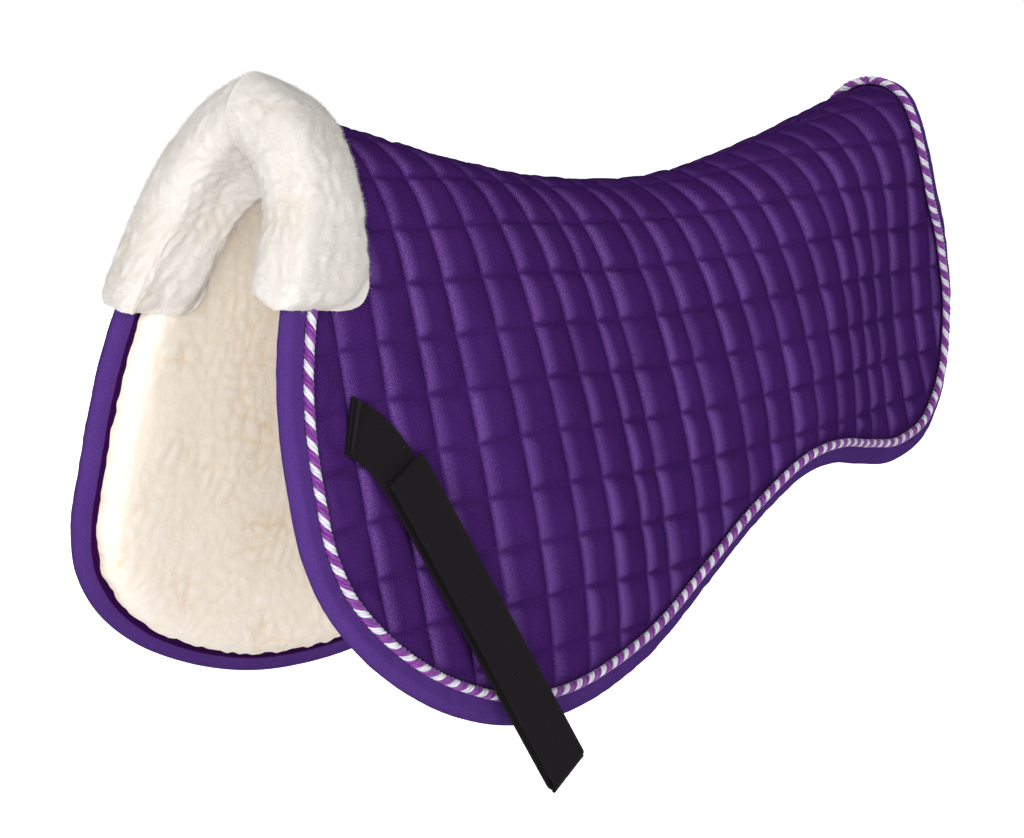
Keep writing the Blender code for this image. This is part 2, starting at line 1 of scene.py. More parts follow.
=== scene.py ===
import math
import bpy
import numpy as np
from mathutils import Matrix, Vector
from mathutils.kdtree import KDTree


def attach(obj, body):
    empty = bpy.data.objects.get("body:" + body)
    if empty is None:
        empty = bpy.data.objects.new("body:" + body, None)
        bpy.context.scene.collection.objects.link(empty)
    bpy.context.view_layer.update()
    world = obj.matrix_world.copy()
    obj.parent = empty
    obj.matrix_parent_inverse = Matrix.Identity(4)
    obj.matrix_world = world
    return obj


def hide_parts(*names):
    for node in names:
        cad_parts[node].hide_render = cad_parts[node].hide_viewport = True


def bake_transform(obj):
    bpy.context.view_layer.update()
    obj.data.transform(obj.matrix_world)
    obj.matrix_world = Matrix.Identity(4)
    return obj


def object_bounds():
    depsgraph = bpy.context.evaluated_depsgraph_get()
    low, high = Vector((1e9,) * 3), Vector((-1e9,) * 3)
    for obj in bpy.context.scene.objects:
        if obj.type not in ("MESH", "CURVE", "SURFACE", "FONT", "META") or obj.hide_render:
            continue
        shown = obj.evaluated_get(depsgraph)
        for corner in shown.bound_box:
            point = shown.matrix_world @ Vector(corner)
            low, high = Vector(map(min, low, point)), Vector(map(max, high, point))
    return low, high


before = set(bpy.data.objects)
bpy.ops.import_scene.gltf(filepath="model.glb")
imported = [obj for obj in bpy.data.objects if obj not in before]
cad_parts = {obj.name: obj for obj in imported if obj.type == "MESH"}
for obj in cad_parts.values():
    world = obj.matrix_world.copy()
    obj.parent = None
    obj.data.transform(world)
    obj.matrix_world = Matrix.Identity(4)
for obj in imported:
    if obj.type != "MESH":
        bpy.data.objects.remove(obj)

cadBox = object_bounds()
print("frame loaded")

# the back that the pad lies on: same cut sections as the solids, in metres
# place along the spine, spine height, slope at the spine, slope of the side, crown width, curl
backSections = np.array((
    (0.000, 0.037, 32.0, 83.0, 0.049, -14.0),
    (0.080, 0.0225, 15.5, 79.0, 0.042, 0.0),
    (0.170, 0.001, 5.5, 71.5, 0.035, 19.0),
    (0.260, -0.014, 12.0, 72.0, 0.033, 24.0),
    (0.350, -0.0165, 15.0, 72.5, 0.034, 38.0),
    (0.440, -0.003, 9.0, 77.0, 0.034, 34.0),
    (0.536, 0.0185, 3.0, 96.0, 0.033, -22.0),
    (0.620, 0.036, 3.0, 104.0, 0.033, -40.0),
))
back = {"crownPower": 1.4, "curlDepth": 0.268, "originAlong": 0.305, "spineGap": 0.0004}
layers = {"cover": 0.0015, "wadding": 0.0060, "lining": 0.0083, "gap": 0.0014,
          "pressedAtEdge": 0.45, "pressWidth": 0.030}
stack = layers["cover"] + layers["wadding"] + layers["lining"] + 2 * layers["gap"]
sides = (("left", -1), ("right", 1))


# 0 up to the start, 1 from the start plus the width on
def rising(value, start, width):
    return np.clip((value - start) / width, 0.0, 1.0)


def eased(share):
    return share * share * (3 - 2 * share)


# smooth curve through values at their stations, with given slopes
def hermite(stations, values, slopes, at):
    k = np.clip(np.searchsorted(stations, at) - 1, 0, len(stations) - 2)
    gap = stations[k + 1] - stations[k]
    u = (at - stations[k]) / gap
    if values.ndim > 1:
        gap, u = gap[:, None], u[:, None]
    return (values[k] * (2 * u ** 3 - 3 * u ** 2 + 1) + gap * slopes[k] * (u ** 3 - 2 * u ** 2 + u)
            + values[k + 1] * (3 * u ** 2 - 2 * u ** 3) + gap * slopes[k + 1] * (u ** 3 - u ** 2))


def sectionValue(column, along):
    stations, values = backSections[:, 0], backSections[:, column]
    return hermite(stations, values, np.gradient(values, stations), along)


def backSurface(along, down, side):
    spineSlope = np.radians(sectionValue(2, along))
    sideSlope = np.radians(sectionValue(3, along))
    curl = np.radians(sectionValue(5, along))
    run = np.linspace(0.0, 1.0, 33)[:, None] * down[None, :]
    turned = 1.0 - np.exp(-(np.maximum(run, 0.0) / sectionValue(4, along)) ** back["crownPower"])
    slope = spineSlope + (sideSlope - spineSlope) * turned + curl * (run / back["curlDepth"]) ** 2
    out = np.trapz(np.cos(slope), run, axis=0)
    fall = np.trapz(np.sin(slope), run, axis=0)
    return np.stack([along, side * out, sectionValue(1, along) - fall], axis=1)


# flat points (along, down, height) laid over one side of the back
def layOnBack(points, side):
    along, down, height = points[:, 0], points[:, 1], points[:, 2]
    lean = np.tan(np.radians(sectionValue(2, along)))
    shift = 1.5 * np.maximum(-height, 0.0) - np.maximum(height, 0.0)
    down = down + shift * lean * np.exp(-down / 0.030)
    step = 0.0005
    base = backSurface(along, down, side)
    ahead = backSurface(along + step, down, side) - backSurface(along - step, down, side)
    below = backSurface(along, down + step, side) - backSurface(along, down - step, side)
    normal = np.cross(ahead, below) * side
    normal /= np.linalg.norm(normal, axis=1)[:, None]
    lowest = float(sectionValue(1, np.array([back["originAlong"]]))[0])
    placed = base + normal * height[:, None] + np.array([-back["originAlong"], 0.0, stack - lowest])
    placed[:, 1] = side * np.maximum(side * placed[:, 1], back["spineGap"])
    return placed


# edge of one half in the flat: along the spine, down from it
halfEdge = np.array((
    (0.044, 0.000), (0.041, 0.025), (0.033, 0.055), (0.021, 0.085), (0.012, 0.109),
    (0.005, 0.135), (0.0012, 0.162), (0.0003, 0.188), (0.0007, 0.212), (0.0077, 0.236),
    (0.024, 0.257), (0.053, 0.277), (0.090, 0.289), (0.125, 0.292), (0.170, 0.286),
    (0.236, 0.261), (0.310, 0.225), (0.360, 0.203), (0.407, 0.193), (0.450, 0.198),
    (0.490, 0.211), (0.537, 0.225), (0.583, 0.223), (0.617, 0.199), (0.628, 0.160),
    (0.612, 0.112), (0.586, 0.069), (0.576, 0.040), (0.578, 0.020), (0.579, 0.000),
))


def lengthAlong(path):
    return np.concatenate([[0.0], np.cumsum(np.linalg.norm(np.diff(path, axis=0), axis=1))])


# points of a line at the given lengths along it
def pointsAt(line, length, at):
    return np.stack([np.interp(at, length, line[:, 0]), np.interp(at, length, line[:, 1])], 1)


def smoothPath(points, step):
    chord = lengthAlong(points)
    tangent = np.gradient(points, chord, axis=0)
    tangent[0], tangent[-1] = (0.0, 1.0), (0.0, -1.0)
    line = hermite(chord, points, tangent, np.linspace(0.0, chord[-1], 6001))
    length = lengthAlong(line)
    return pointsAt(line, length, np.linspace(0.0, length[-1], int(round(length[-1] / step)) + 1))


def inwardOf(path):
    tangent = np.gradient(path, axis=0)
    tangent /= np.linalg.norm(tangent, axis=1)[:, None]
    tangent[0], tangent[-1] = (0.0, 1.0), (0.0, -1.0)
    return np.stack([tangent[:, 1], -tangent[:, 0]], 1)


edgeFine = smoothPath(halfEdge, 0.0010)
edgeInward = inwardOf(edgeFine)
edgeTree = KDTree(len(edgeFine))
for i, point in enumerate(edgeFine):
    edgeTree.insert((point[0], point[1], 0.0), i)
edgeTree.balance()


# signed distance of flat points from the edge (inside is positive), and the way inwards
def edgeDistance(flat):
    found = [edgeTree.find((float(x), float(y), 0.0)) for x, y in flat]
    nearest = np.array([item[1] for item in found])
    offset = flat - edgeFine[nearest]
    inward = edgeInward[nearest]
    inside = np.where((offset * inward).sum(1) >= 0.0, 1.0, -1.0)
    return inside * np.array([item[2] for item in found]), inward


# the layers are squeezed thin towards the bound edge
def pressed(height, distance):
    thick = rising(distance, 0.0, layers["pressWidth"])
    return np.where(height < 0.0, height * (1.0 - layers["pressedAtEdge"] * (1.0 - thick)), height)


# seeded noise in the flat
def hashed(ix, iy, seed):
    value = np.sin(ix * 127.1 + iy * 311.7 + seed * 74.7) * 43758.5453
    return value - np.floor(value)


def softNoise(u, v, size, seed):
    x, y = u / size, v / size
    ix, iy = np.floor(x), np.floor(y)
    fx, fy = eased(x - ix), eased(y - iy)
    low = hashed(ix, iy, seed) * (1 - fx) + hashed(ix + 1, iy, seed) * fx
    high = hashed(ix, iy + 1, seed) * (1 - fx) + hashed(ix + 1, iy + 1, seed) * fx
    return low * (1 - fy) + high * fy


# nearest and second nearest cell distance in units of the cell, and a value per cell
def clumps(u, v, size, seed):
    x, y = u / size, v / size
    ix, iy = np.floor(x), np.floor(y)
    first = np.full(x.shape, 9.0)
    second = np.full(x.shape, 9.0)
    which = np.zeros(x.shape)
    for dx in (-1, 0, 1):
        for dy in (-1, 0, 1):
            cx, cy = ix + dx, iy + dy
            px = cx + 0.15 + 0.7 * hashed(cx, cy, seed)
            py = cy + 0.15 + 0.7 * hashed(cx, cy, seed + 5.3)
            distance = np.hypot(px - x, py - y)
            closer = distance < first
            second = np.where(closer, first, np.minimum(second, distance))
            which = np.where(closer, hashed(cx, cy, seed + 9.1), which)
            first = np.where(closer, distance, first)
    return first, second, which


# curly fleece pile, 0 in the partings to about 1 on the clumps
def sherpaPile(u, v, size, seed, softness=0.60):
    bend = 0.55 * size
    uu = u + bend * (softNoise(u, v, size * 1.3, seed + 1) - 0.5) * 2
    vv = v + bend * (softNoise(u, v, size * 1.3, seed + 2) - 0.5) * 2
    first, second, which = clumps(uu, vv, size, seed)
    parting = eased(rising(second, first, softness))
    # how far the partings open sets their depth and how much painted shade the sherpa finish gives them
    depthAndPaintedLight = 0.35 + 0.65 * softNoise(u, v, size * 2.1, seed + 6)  # only some partings open deep
    parting = 1.0 - (1.0 - parting) * depthAndPaintedLight
    small, smallNext, smallWhich = clumps(uu, vv, size * 0.42, seed + 3)
    curl = eased(rising(smallNext, small, 0.7))
    return (0.40 * parting + 0.16 * which * parting + 0.08 * curl + 0.04 * smallWhich
            + 0.32 * softNoise(u, v, size * 1.7, seed + 4))


# meshes
def linked(name, data):
    piece = bpy.data.objects.new(name, data)
    bpy.context.scene.collection.objects.link(piece)
    return piece


def meshFrom(name, verts, faces, flatUv, extra=None):
    mesh = bpy.data.meshes.new(name)
    faces = np.asarray(faces, dtype=np.int32)
    mesh.vertices.add(len(verts))
    mesh.vertices.foreach_set("co", np.asarray(verts, dtype=np.float32).ravel())
    mesh.loops.add(faces.size)
    mesh.loops.foreach_set("vertex_index", faces.ravel())
    mesh.polygons.add(len(faces))
    mesh.polygons.foreach_set("loop_start", np.arange(0, faces.size, faces.shape[1], dtype=np.int32))
    mesh.polygons.foreach_set("use_smooth", np.ones(len(faces), dtype=bool))
    mesh.update(calc_edges=True)
    layer = mesh.uv_layers.new(name="flat")
    layer.data.foreach_set("uv", np.asarray(flatUv, dtype=np.float32)[faces.ravel()].ravel())
    for key, values in (extra or {}).items():
        attribute = mesh.attributes.new(key, "FLOAT", "POINT")
        attribute.data.foreach_set("value", np.asarray(values, dtype=np.float32))
    mesh.validate()
    return linked(name, mesh)


# turn the faces so that they look along the given direction of their first corner
def facesOutward(verts, faces, outward):
    a, b, c = verts[faces[:, 0]], verts[faces[:, 1]], verts[faces[:, 2]]
    agree = (np.cross(b - a, c - a) * outward[faces[:, 0]]).sum(1).sum()
    return faces if agree > 0 else faces[:, ::-1]


# the four corners of every square of a grid
def corners(grid):
    return np.stack([grid[:-1, :-1], grid[1:, :-1], grid[1:, 1:], grid[:-1, 1:]], -1)


# outward faces between closed rings of points
def ringFaces(points, rings, count):
    index = np.arange(rings * count).reshape(rings, count)
    after = np.roll(index, -1, axis=1)
    faces = np.stack([index[:-1], after[:-1], after[1:], index[1:]], -1).reshape(-1, 4)
    centre = points.reshape(rings, count, 3).mean(axis=1)
    return facesOutward(points, faces, points - np.repeat(centre, count, axis=0))


def boundaryOf(faces):
    pairs = np.concatenate([faces[:, [k, (k + 1) % 4]] for k in range(4)])
    ordered = np.sort(pairs, axis=1)
    unique, index, count = np.unique(ordered, axis=0, return_index=True, return_counts=True)
    return pairs[index[count == 1]]


# an open cloth shell on the back, with a rim wall that turns down to wallHeight
def shellFromGrid(name, flat, height, keep, side, wallHeight, distance, extra):
    rows, columns = flat.shape[:2]
    index = np.arange(rows * columns).reshape(rows, columns)
    quads = corners(index)[keep]
    used = np.unique(quads)
    remap = np.full(rows * columns, -1)
    remap[used] = np.arange(len(used))
    quads = remap[quads]
    flat = flat.reshape(-1, 2)[used]
    height = height.reshape(-1)[used]
    distance = distance.reshape(-1)[used]
    world = layOnBack(np.column_stack([flat, height]), side)
    lifted = layOnBack(np.column_stack([flat, height + 0.001]), side)
    outward = (lifted - world) * (1.0 if wallHeight < height.mean() else -1.0)
    quads = facesOutward(world, quads, outward)
    rim = boundaryOf(quads)
    rimVerts = np.unique(rim)
    place = {int(v): k + len(flat) for k, v in enumerate(rimVerts)}
    wall = pressed(np.full(len(rimVerts), wallHeight), distance[rimVerts])
    lower = layOnBack(np.column_stack([flat[rimVerts], wall]), side)
    wallFaces = np.array([(b, a, place[int(a)], place[int(b)]) for a, b in rim])
    verts = np.concatenate([world, lower])
    uv = np.concatenate([flat, flat[rimVerts]])
    extraAll = {key: np.concatenate([values.reshape(-1)[used],
                                     np.zeros(len(rimVerts))]) for key, values in extra.items()}
    return meshFrom(name, verts, np.concatenate([quads, wallFaces]), uv, extraAll)


# materials
def srgb(red, green, blue):
    def linear(value):
        value /= 255.0
        return value / 12.92 if value <= 0.04045 else ((value + 0.055) / 1.055) ** 2.4
    return (linear(red), linear(green), linear(blue), 1.0)


# link a socket, or set its value
def feed(links, socket, value):
    if isinstance(value, bpy.types.NodeSocket):
        links.new(value, socket)
    else:
        socket.default_value = value


def newNode(tree, kind, inputs=None, **settings):
    node = tree.nodes.new(kind)
    for key, value in settings.items():
        setattr(node, key, value)
    for key, value in (inputs or {}).items():
        feed(tree.links, node.inputs[key], value)
    return node


# a small helper for node materials
class Finish:
    def __init__(self, name, roughness, sheen=0.0, sheenTint=(1.0, 1.0, 1.0, 1.0), specular=0.5):
        self.material = bpy.data.materials.new(name)
        self.material.use_nodes = True
        self.tree = self.material.node_tree
        self.sockets = self.tree.nodes["Principled BSDF"].inputs
        for key, value in (("Roughness", roughness), ("Sheen Weight", sheen), ("Sheen Roughness", 0.45),
                           ("Sheen Tint", sheenTint), ("Specular IOR Level", specular)):
            self.sockets[key].default_value = value

    def add(self, kind, inputs=None, **settings):
        return newNode(self.tree, kind, inputs, **settings)

    def flatPlace(self, rotation=0.0):
        uv = self.add("ShaderNodeUVMap", uv_map="flat").outputs["UV"]
        turned = self.add("ShaderNodeMapping", {"Vector": uv, "Rotation": (0.0, 0.0, rotation)})
        return turned.outputs["Vector"]

    def objectPlace(self):
        return self.add("ShaderNodeTexCoord").outputs["Object"]

    def noise(self, place, scale, detail=2.0, rough=0.5):
        return self.add("ShaderNodeTexNoise", {"Vector": place, "Scale": scale, "Detail": detail,
                                               "Roughness": rough}).outputs["Fac"]

    def wave(self, place, pitch, distortion=0.0, detailScale=1.0, profile="SIN"):
        return self.add("ShaderNodeTexWave", {"Vector": place, "Scale": 2 * math.pi / 20 / pitch,
                        "Distortion": distortion, "Detail": 1.0, "Detail Scale": detailScale},
                        wave_profile=profile).outputs["Fac"]

    def ramp(self, factor, stops):
        node = self.add("ShaderNodeValToRGB", {"Fac": factor})
        elements = node.color_ramp.elements
        while len(elements) < len(stops):
            elements.new(0.5)
        for element, (position, color) in zip(elements, stops):
            element.position = position
            element.color = color
        return node.outputs["Color"]

    def mix(self, factor, one, two):
        return self.add("ShaderNodeMix", {"Factor": factor, 6: one, 7: two}, data_type="RGBA").outputs[2]

    def math(self, operation, one, two):
        return self.add("ShaderNodeMath", {0: one, 1: two}, operation=operation).outputs[0]

    # sum of sockets, each times its weight
    def weighted(self, *parts):
        total = None
        for socket, weight in parts:
            part = self.math("MULTIPLY", socket, weight)
            total = part if total is None else self.math("ADD", total, part)
        return total

    def attribute(self, name):
        return self.add("ShaderNodeAttribute", attribute_name=name).outputs["Fac"]

    def bump(self, height, distance, strength=1.0, after=None):
        inputs = {"Height": height, "Distance": distance, "Strength": strength}
        if after is not None:
            inputs["Normal"] = after
        return self.add("ShaderNodeBump", inputs).outputs["Normal"]

    def finish(self, color, normal=None):
        self.tree.links.new(color, self.sockets["Base Color"])
        if normal is not None:
            self.tree.links.new(normal, self.sockets["Normal"])
        return self.material


def twillFinish(name, dark, light, walePitch, angle, waleDepth, uneven, shadedTurnIn=None, paintedHighlight=None):
    f = Finish(name, 0.6, specular=0.0)
    across = f.flatPlace(angle)
    fine = f.flatPlace(angle + math.radians(58))
    wale = f.wave(across, walePitch, 0.6, 2.0)
    yarn = f.wave(fine, walePitch * 0.62, 0.8, 3.0)
    patch = f.noise(f.flatPlace(), 28.0, 3.0, 0.6)
    fleck = f.noise(f.flatPlace(), 1250.0, 1.0, 0.6)
    tone = f.weighted((wale, 0.22), (yarn, 0.14), (fleck, 0.50), (patch, uneven))
    color = f.ramp(tone, [(0.30, dark), (0.82, light)])
    # painted shade: a much darker colour on the turned-in strip of the tape
    if shadedTurnIn:
        color = f.mix(f.attribute("turned"), color, shadedTurnIn)
    # painted highlight: a lighter, grainy colour where the cover's mask is high
    if paintedHighlight:
        highlightGrain = f.ramp(f.weighted((wale, 0.26), (fleck, 0.84)),
                       [(0.36, (0.05, 0.05, 0.05, 1.0)), (0.68, (0.85, 0.85, 0.85, 1.0))])
        color = f.mix(f.math("MULTIPLY", f.attribute("depthAndPaintedLight"), highlightGrain), color, paintedHighlight)
    normal = f.bump(f.math("ADD", wale, f.math("MULTIPLY", yarn, 0.4)), waleDepth)
    normal = f.bump(f.noise(f.flatPlace(), 900.0, 2.0, 0.6), 0.00016, 0.8, normal)
    return f.finish(color, normal)


def sherpaFinish(name, partingShade, middle, top):
    f = Finish(name, 0.95, 0.5, srgb(255, 250, 240), 0.1)
    place = f.objectPlace()
    pile = f.attribute("pile")
    wool = f.noise(place, 520.0, 4.0, 0.65)
    curls = f.noise(place, 230.0, 2.0, 0.55)
    # painted shade: the partings between the clumps, where the pile is low, take a darker, yellower colour
    tone = f.weighted((pile, 0.78), (curls, 0.26))
    color = f.ramp(tone, [(0.16, partingShade), (0.40, middle), (0.85, top)])
    color = f.mix(0.12, color, f.ramp(wool, [(0.3, middle), (0.7, top)]))
    normal = f.bump(curls, 0.0004, 0.6)
    normal = f.bump(wool, 0.0003, 0.7, normal)
    return f.finish(color, normal)


def woolFinish(name, color):
    f = Finish(name, 1.0, 0.3, srgb(255, 250, 240), 0.0)
    return f.finish(f.ramp(f.noise(f.objectPlace(), 90.0, 1.0, 0.5), [(0.0, color), (1.0, color)]))


def strandFinish(name, color, shade):
    f = Finish(name, 0.5, 0.25, specular=0.45)
    turns = f.weighted((f.attribute("strandAlong"), 300.0), (f.attribute("strandAround"), 3.0))
    yarn = f.math("SINE", f.math("MULTIPLY", turns, 2 * math.pi), 0.0)
    yarn = f.math("ADD", f.math("MULTIPLY", yarn, 0.5), 0.5)
    fuzz = f.noise(f.objectPlace(), 1500.0, 2.0, 0.6)
    tone = f.weighted((yarn, 0.5), (fuzz, 0.5))
    normal = f.bump(tone, 0.00022, 0.9)
    return f.finish(f.ramp(tone, [(0.1, shade), (0.65, color)]), normal)


def webbingFinish(name, dark, light, ribPitch):
    f = Finish(name, 0.85, 0.02, (0.8, 0.8, 0.85, 1.0), 0.05)
    ribs = f.wave(f.flatPlace(), ribPitch, 0.25, 2.0)
    ends = f.wave(f.flatPlace(math.radians(90)), ribPitch * 0.9, 0.25, 2.0)
    weave = f.math("MULTIPLY", ribs, ends)
    fleck = f.noise(f.flatPlace(), 1500.0, 2.0, 0.7)
    lint = f.math("GREATER_THAN", f.noise(f.flatPlace(), 620.0, 1.0, 0.5), 0.81)
    tone = f.weighted((weave, 0.5), (fleck, 0.5))
    color = f.mix(f.math("MULTIPLY", lint, 0.5), f.ramp(tone, [(0.15, dark), (0.9, light)]),
                  srgb(150, 140, 140))
    return f.finish(color, f.bump(tone, 0.00025, 0.9))


def threadFinish(name, color, shade):
    f = Finish(name, 0.7, specular=0.15)
    twist = f.noise(f.objectPlace(), 2600.0, 2.0, 0.5)
    return f.finish(f.ramp(twist, [(0.3, shade), (0.7, color)]), f.bump(twist, 0.0001, 0.6))


finishes = {
    # the twill's last colour is a painted highlight behind each quilted column
    "twill": twillFinish("purpleTwill", srgb(41, 17, 64), srgb(84, 44, 123), 0.00078,
                         math.radians(-36), 0.00008, 0.22, paintedHighlight=srgb(122, 86, 160)),
    # the binding's last colour is painted shade on its turned-in strip
    "binding": twillFinish("bindingTwill", srgb(65, 38, 102), srgb(97, 64, 144), 0.00085,
                           math.radians(-32), 0.00010, 0.16, srgb(46, 14, 62)),
    # each sherpa's first colour is painted shade in the partings
    "sherpa": sherpaFinish("creamSherpa", srgb(234, 211, 180), srgb(246, 235, 220),
                           srgb(250, 243, 235)),
    "roll": sherpaFinish("whiteSherpa", srgb(212, 201, 185), srgb(218, 212, 206), srgb(223, 219, 216)),
    "wool": woolFinish("woolFibres", srgb(220, 215, 211)),
    "whiteStrand": strandFinish("whiteStrand", srgb(226, 225, 232), srgb(166, 166, 186)),
    "purpleStrand": strandFinish("purpleStrand", srgb(128, 38, 150), srgb(72, 18, 96)),
    "webbing": webbingFinish("blackWebbing", srgb(14, 12, 14), srgb(40, 36, 40), 0.00095),
    "touchTape": webbingFinish("blackTouchTape", srgb(14, 14, 14), srgb(40, 39, 39), 0.0007),
    "purpleThread": threadFinish("purpleThread", srgb(34, 14, 58), srgb(20, 8, 36)),
    "blackThread": threadFinish("blackThread", srgb(20, 18, 20), srgb(8, 7, 8)),
}
print("finishes made")

# line of the girth strap, which presses on the cover
strap = {"width": 0.027, "tape": 0.0015, "touch": 0.0010, "root": (0.0355, 0.1570),
         "headings": (20.0, 57.8), "turn": 0.028, "length": 0.196, "height": 0.0026, "lift": 0.0024,
         "tip": 0.0315, "straight": 0.160, "gap": 0.0004, "step": 0.0012}
strapStack = 2 * strap["tape"] + 2 * strap["touch"] + 3 * strap["gap"]


def strapLine(held):
    run = np.linspace(0.0, 1.0, 33)[:, None] * held[None, :]
    first, last = np.radians(strap["headings"])
    angle = last + (first - last) * np.clip(1.0 - run / strap["turn"], 0.0, 1.0)
    along = strap["root"][0] + np.trapz(np.cos(angle), run, axis=0)
    down = strap["root"][1] + np.trapz(np.sin(angle), run, axis=0)
    return np.stack([along, down], 1), np.stack([np.cos(angle[-1]), np.sin(angle[-1])], 1)


def strapBed(held, across, lift):
    middle, heading = strapLine(held)
    sideways = np.stack([heading[:, 1], -heading[:, 0]], 1)
    return layOnBack(np.column_stack([middle + sideways * across[:, None], lift]), -1)


# world points of the strap: distance from its root, rise above its bed, place across it
def strapPlace(distance, rise, across):
    straightFrom = strap["length"] - strap["straight"]
    held = np.minimum(distance, straightFrom)
    lift = strap["height"] + strap["lift"] * np.clip(held / straightFrom, 0.0, 1.0) ** 2
    base = strapBed(held, across, lift)
    up = strapBed(held, across * 0.0, lift + 0.001) - strapBed(held, across * 0.0, lift)
    up /= np.linalg.norm(up, axis=1)[:, None]
    last = np.full(4, straightFrom) - np.array([0.0, 0.0, 0.004, 0.0])
    offset = np.array([-0.5, 0.5, 0.0, 0.0]) * strap["width"]
    left, right, behind, middle = strapBed(last, offset, np.full(4, strap["height"] + strap["lift"]))
    wide = (right - left) / strap["width"]
    ahead = middle - behind
    ahead -= wide * np.dot(ahead, wide) / np.dot(wide, wide)
    ahead /= np.linalg.norm(ahead)
    flatUp = -np.cross(wide, ahead)
    flatUp /= np.linalg.norm(flatUp)
    beyond = distance - straightFrom
    plane = middle + ahead * beyond[:, None] + wide * across[:, None] + flatUp * rise[:, None]
    return np.where((beyond > 0.0)[:, None], plane, base + up * rise[:, None])


# quilted covers
quilting = {
    "pitch": 0.025, "firstColumn": 0.0633, "firstRow": 0.0264, "fan": 0.142, "lean": 0.0065,
    "columns": (-5, 25), "rows": (-3, 12), "puffHeight": 0.0031, "roundness": 3.3, "skew": 0.82,
    "downRoundness": 4.6, "rowDepth": 0.20, "seamDepth": 0.0006,
    "flatBand": 0.0135, "fade": 0.008, "spineRidge": 0.0007, "calmAtSpine": {-1: 0.034, 1: 0.070},
    "pucker": 0.0010, "dimple": 0.0009, "gather": 0.0016, "edgeGap": 0.0045,
    # how unevenly the columns were fed under the needle, mm, from column -1
    "columnDrift": (-0.5, -2.1, -2.8, -3.7, -1.8, 0.3, 1.9, 4.2, -1.0, 5.3, 1.5, 5.8, 3.8, 1.8, 0.3,
                    -1.3, -0.6, -2.7, -4.3, -3.7, -0.5),
    # how far the rows rise towards both ends, mm, from column -1
    "rowDrift": (-7.0, -6.0, -3.9, -1.6, -0.3, 0.5, 0.9, 1.0, 1.0, 1.0, 1.0, 0.5, 0.2, 0.4, 0.0, -0.8,
                 -1.5, -2.5, -3.0, -3.0, -3.0),
}
insideSquare = np.array((0.0, 0.022, 0.055, 0.10, 0.16, 0.23, 0.32, 0.41, 0.50,
                         0.59, 0.68, 0.77, 0.84, 0.90, 0.945, 0.978))


def quiltToFlat(column, row):
    down = quilting["firstRow"] + quilting["pitch"] * row
    share = down / back["curlDepth"]
    drift = np.interp(column, np.arange(-1, 20), quilting["columnDrift"], left=0.0, right=0.0) / 1000
    along = (quilting["firstColumn"] + quilting["lean"] * share + drift
             + quilting["pitch"] * column * (1.0 + quilting["fan"] * share))
    rise = np.interp(column, np.arange(-1, 20), quilting["rowDrift"]) / 1000
    return along, down + rise + sectionValue(1, along)


def quiltGrid():
    c = np.concatenate([k + insideSquare for k in range(*quilting["columns"])] + [[quilting["columns"][1]]])
    r = np.concatenate([k + insideSquare for k in range(*quilting["rows"])] + [[quilting["rows"][1]]])
    column, row = np.meshgrid(c, r, indexing="ij")
    return column, row, np.stack(quiltToFlat(column, row), -1)


# which quads to keep; corners that reach past the spine seam are drawn back to it
def cutAtSpineAndEdge(flat, inset, room):
    distance = np.full(flat.shape[:2], -1.0)
    inward = np.zeros(flat.shape)
    near = (flat[..., 1] > -0.004) & (flat[..., 1] < 0.31) & (flat[..., 0] > -0.02) & (flat[..., 0] < 0.65)
    distance[near], inward[near] = edgeDistance(flat[near])
    keep = corners((distance > inset) & (flat[..., 1] > 0.0)).any(-1)
    if room:  # draw the outer corners in onto the cut line
        outside = near & (distance < inset) & (distance > -0.01)
        flat[outside] += inward[outside] * (inset - distance[outside])[:, None]
        distance[outside] = inset
        keep &= ~corners(~near | (distance < -0.005)).any(-1)
    else:
        keep &= corners(distance > inset).all(-1)
    flat[..., 1] = np.maximum(flat[..., 1], 0.0)
    return keep, distance


# most height that the strap leaves the squares beneath it
def underStrap(flat):
    line, _ = strapLine(np.linspace(0.0, 0.060, 40))
    near = np.full(flat.shape[:2], 1.0)
    for x, y in line:
        near = np.minimum(near, np.hypot(flat[..., 0] - x, flat[..., 1] - y))
    return 0.0019 + 0.010 * rising(near, strap["width"] / 2, 0.012)


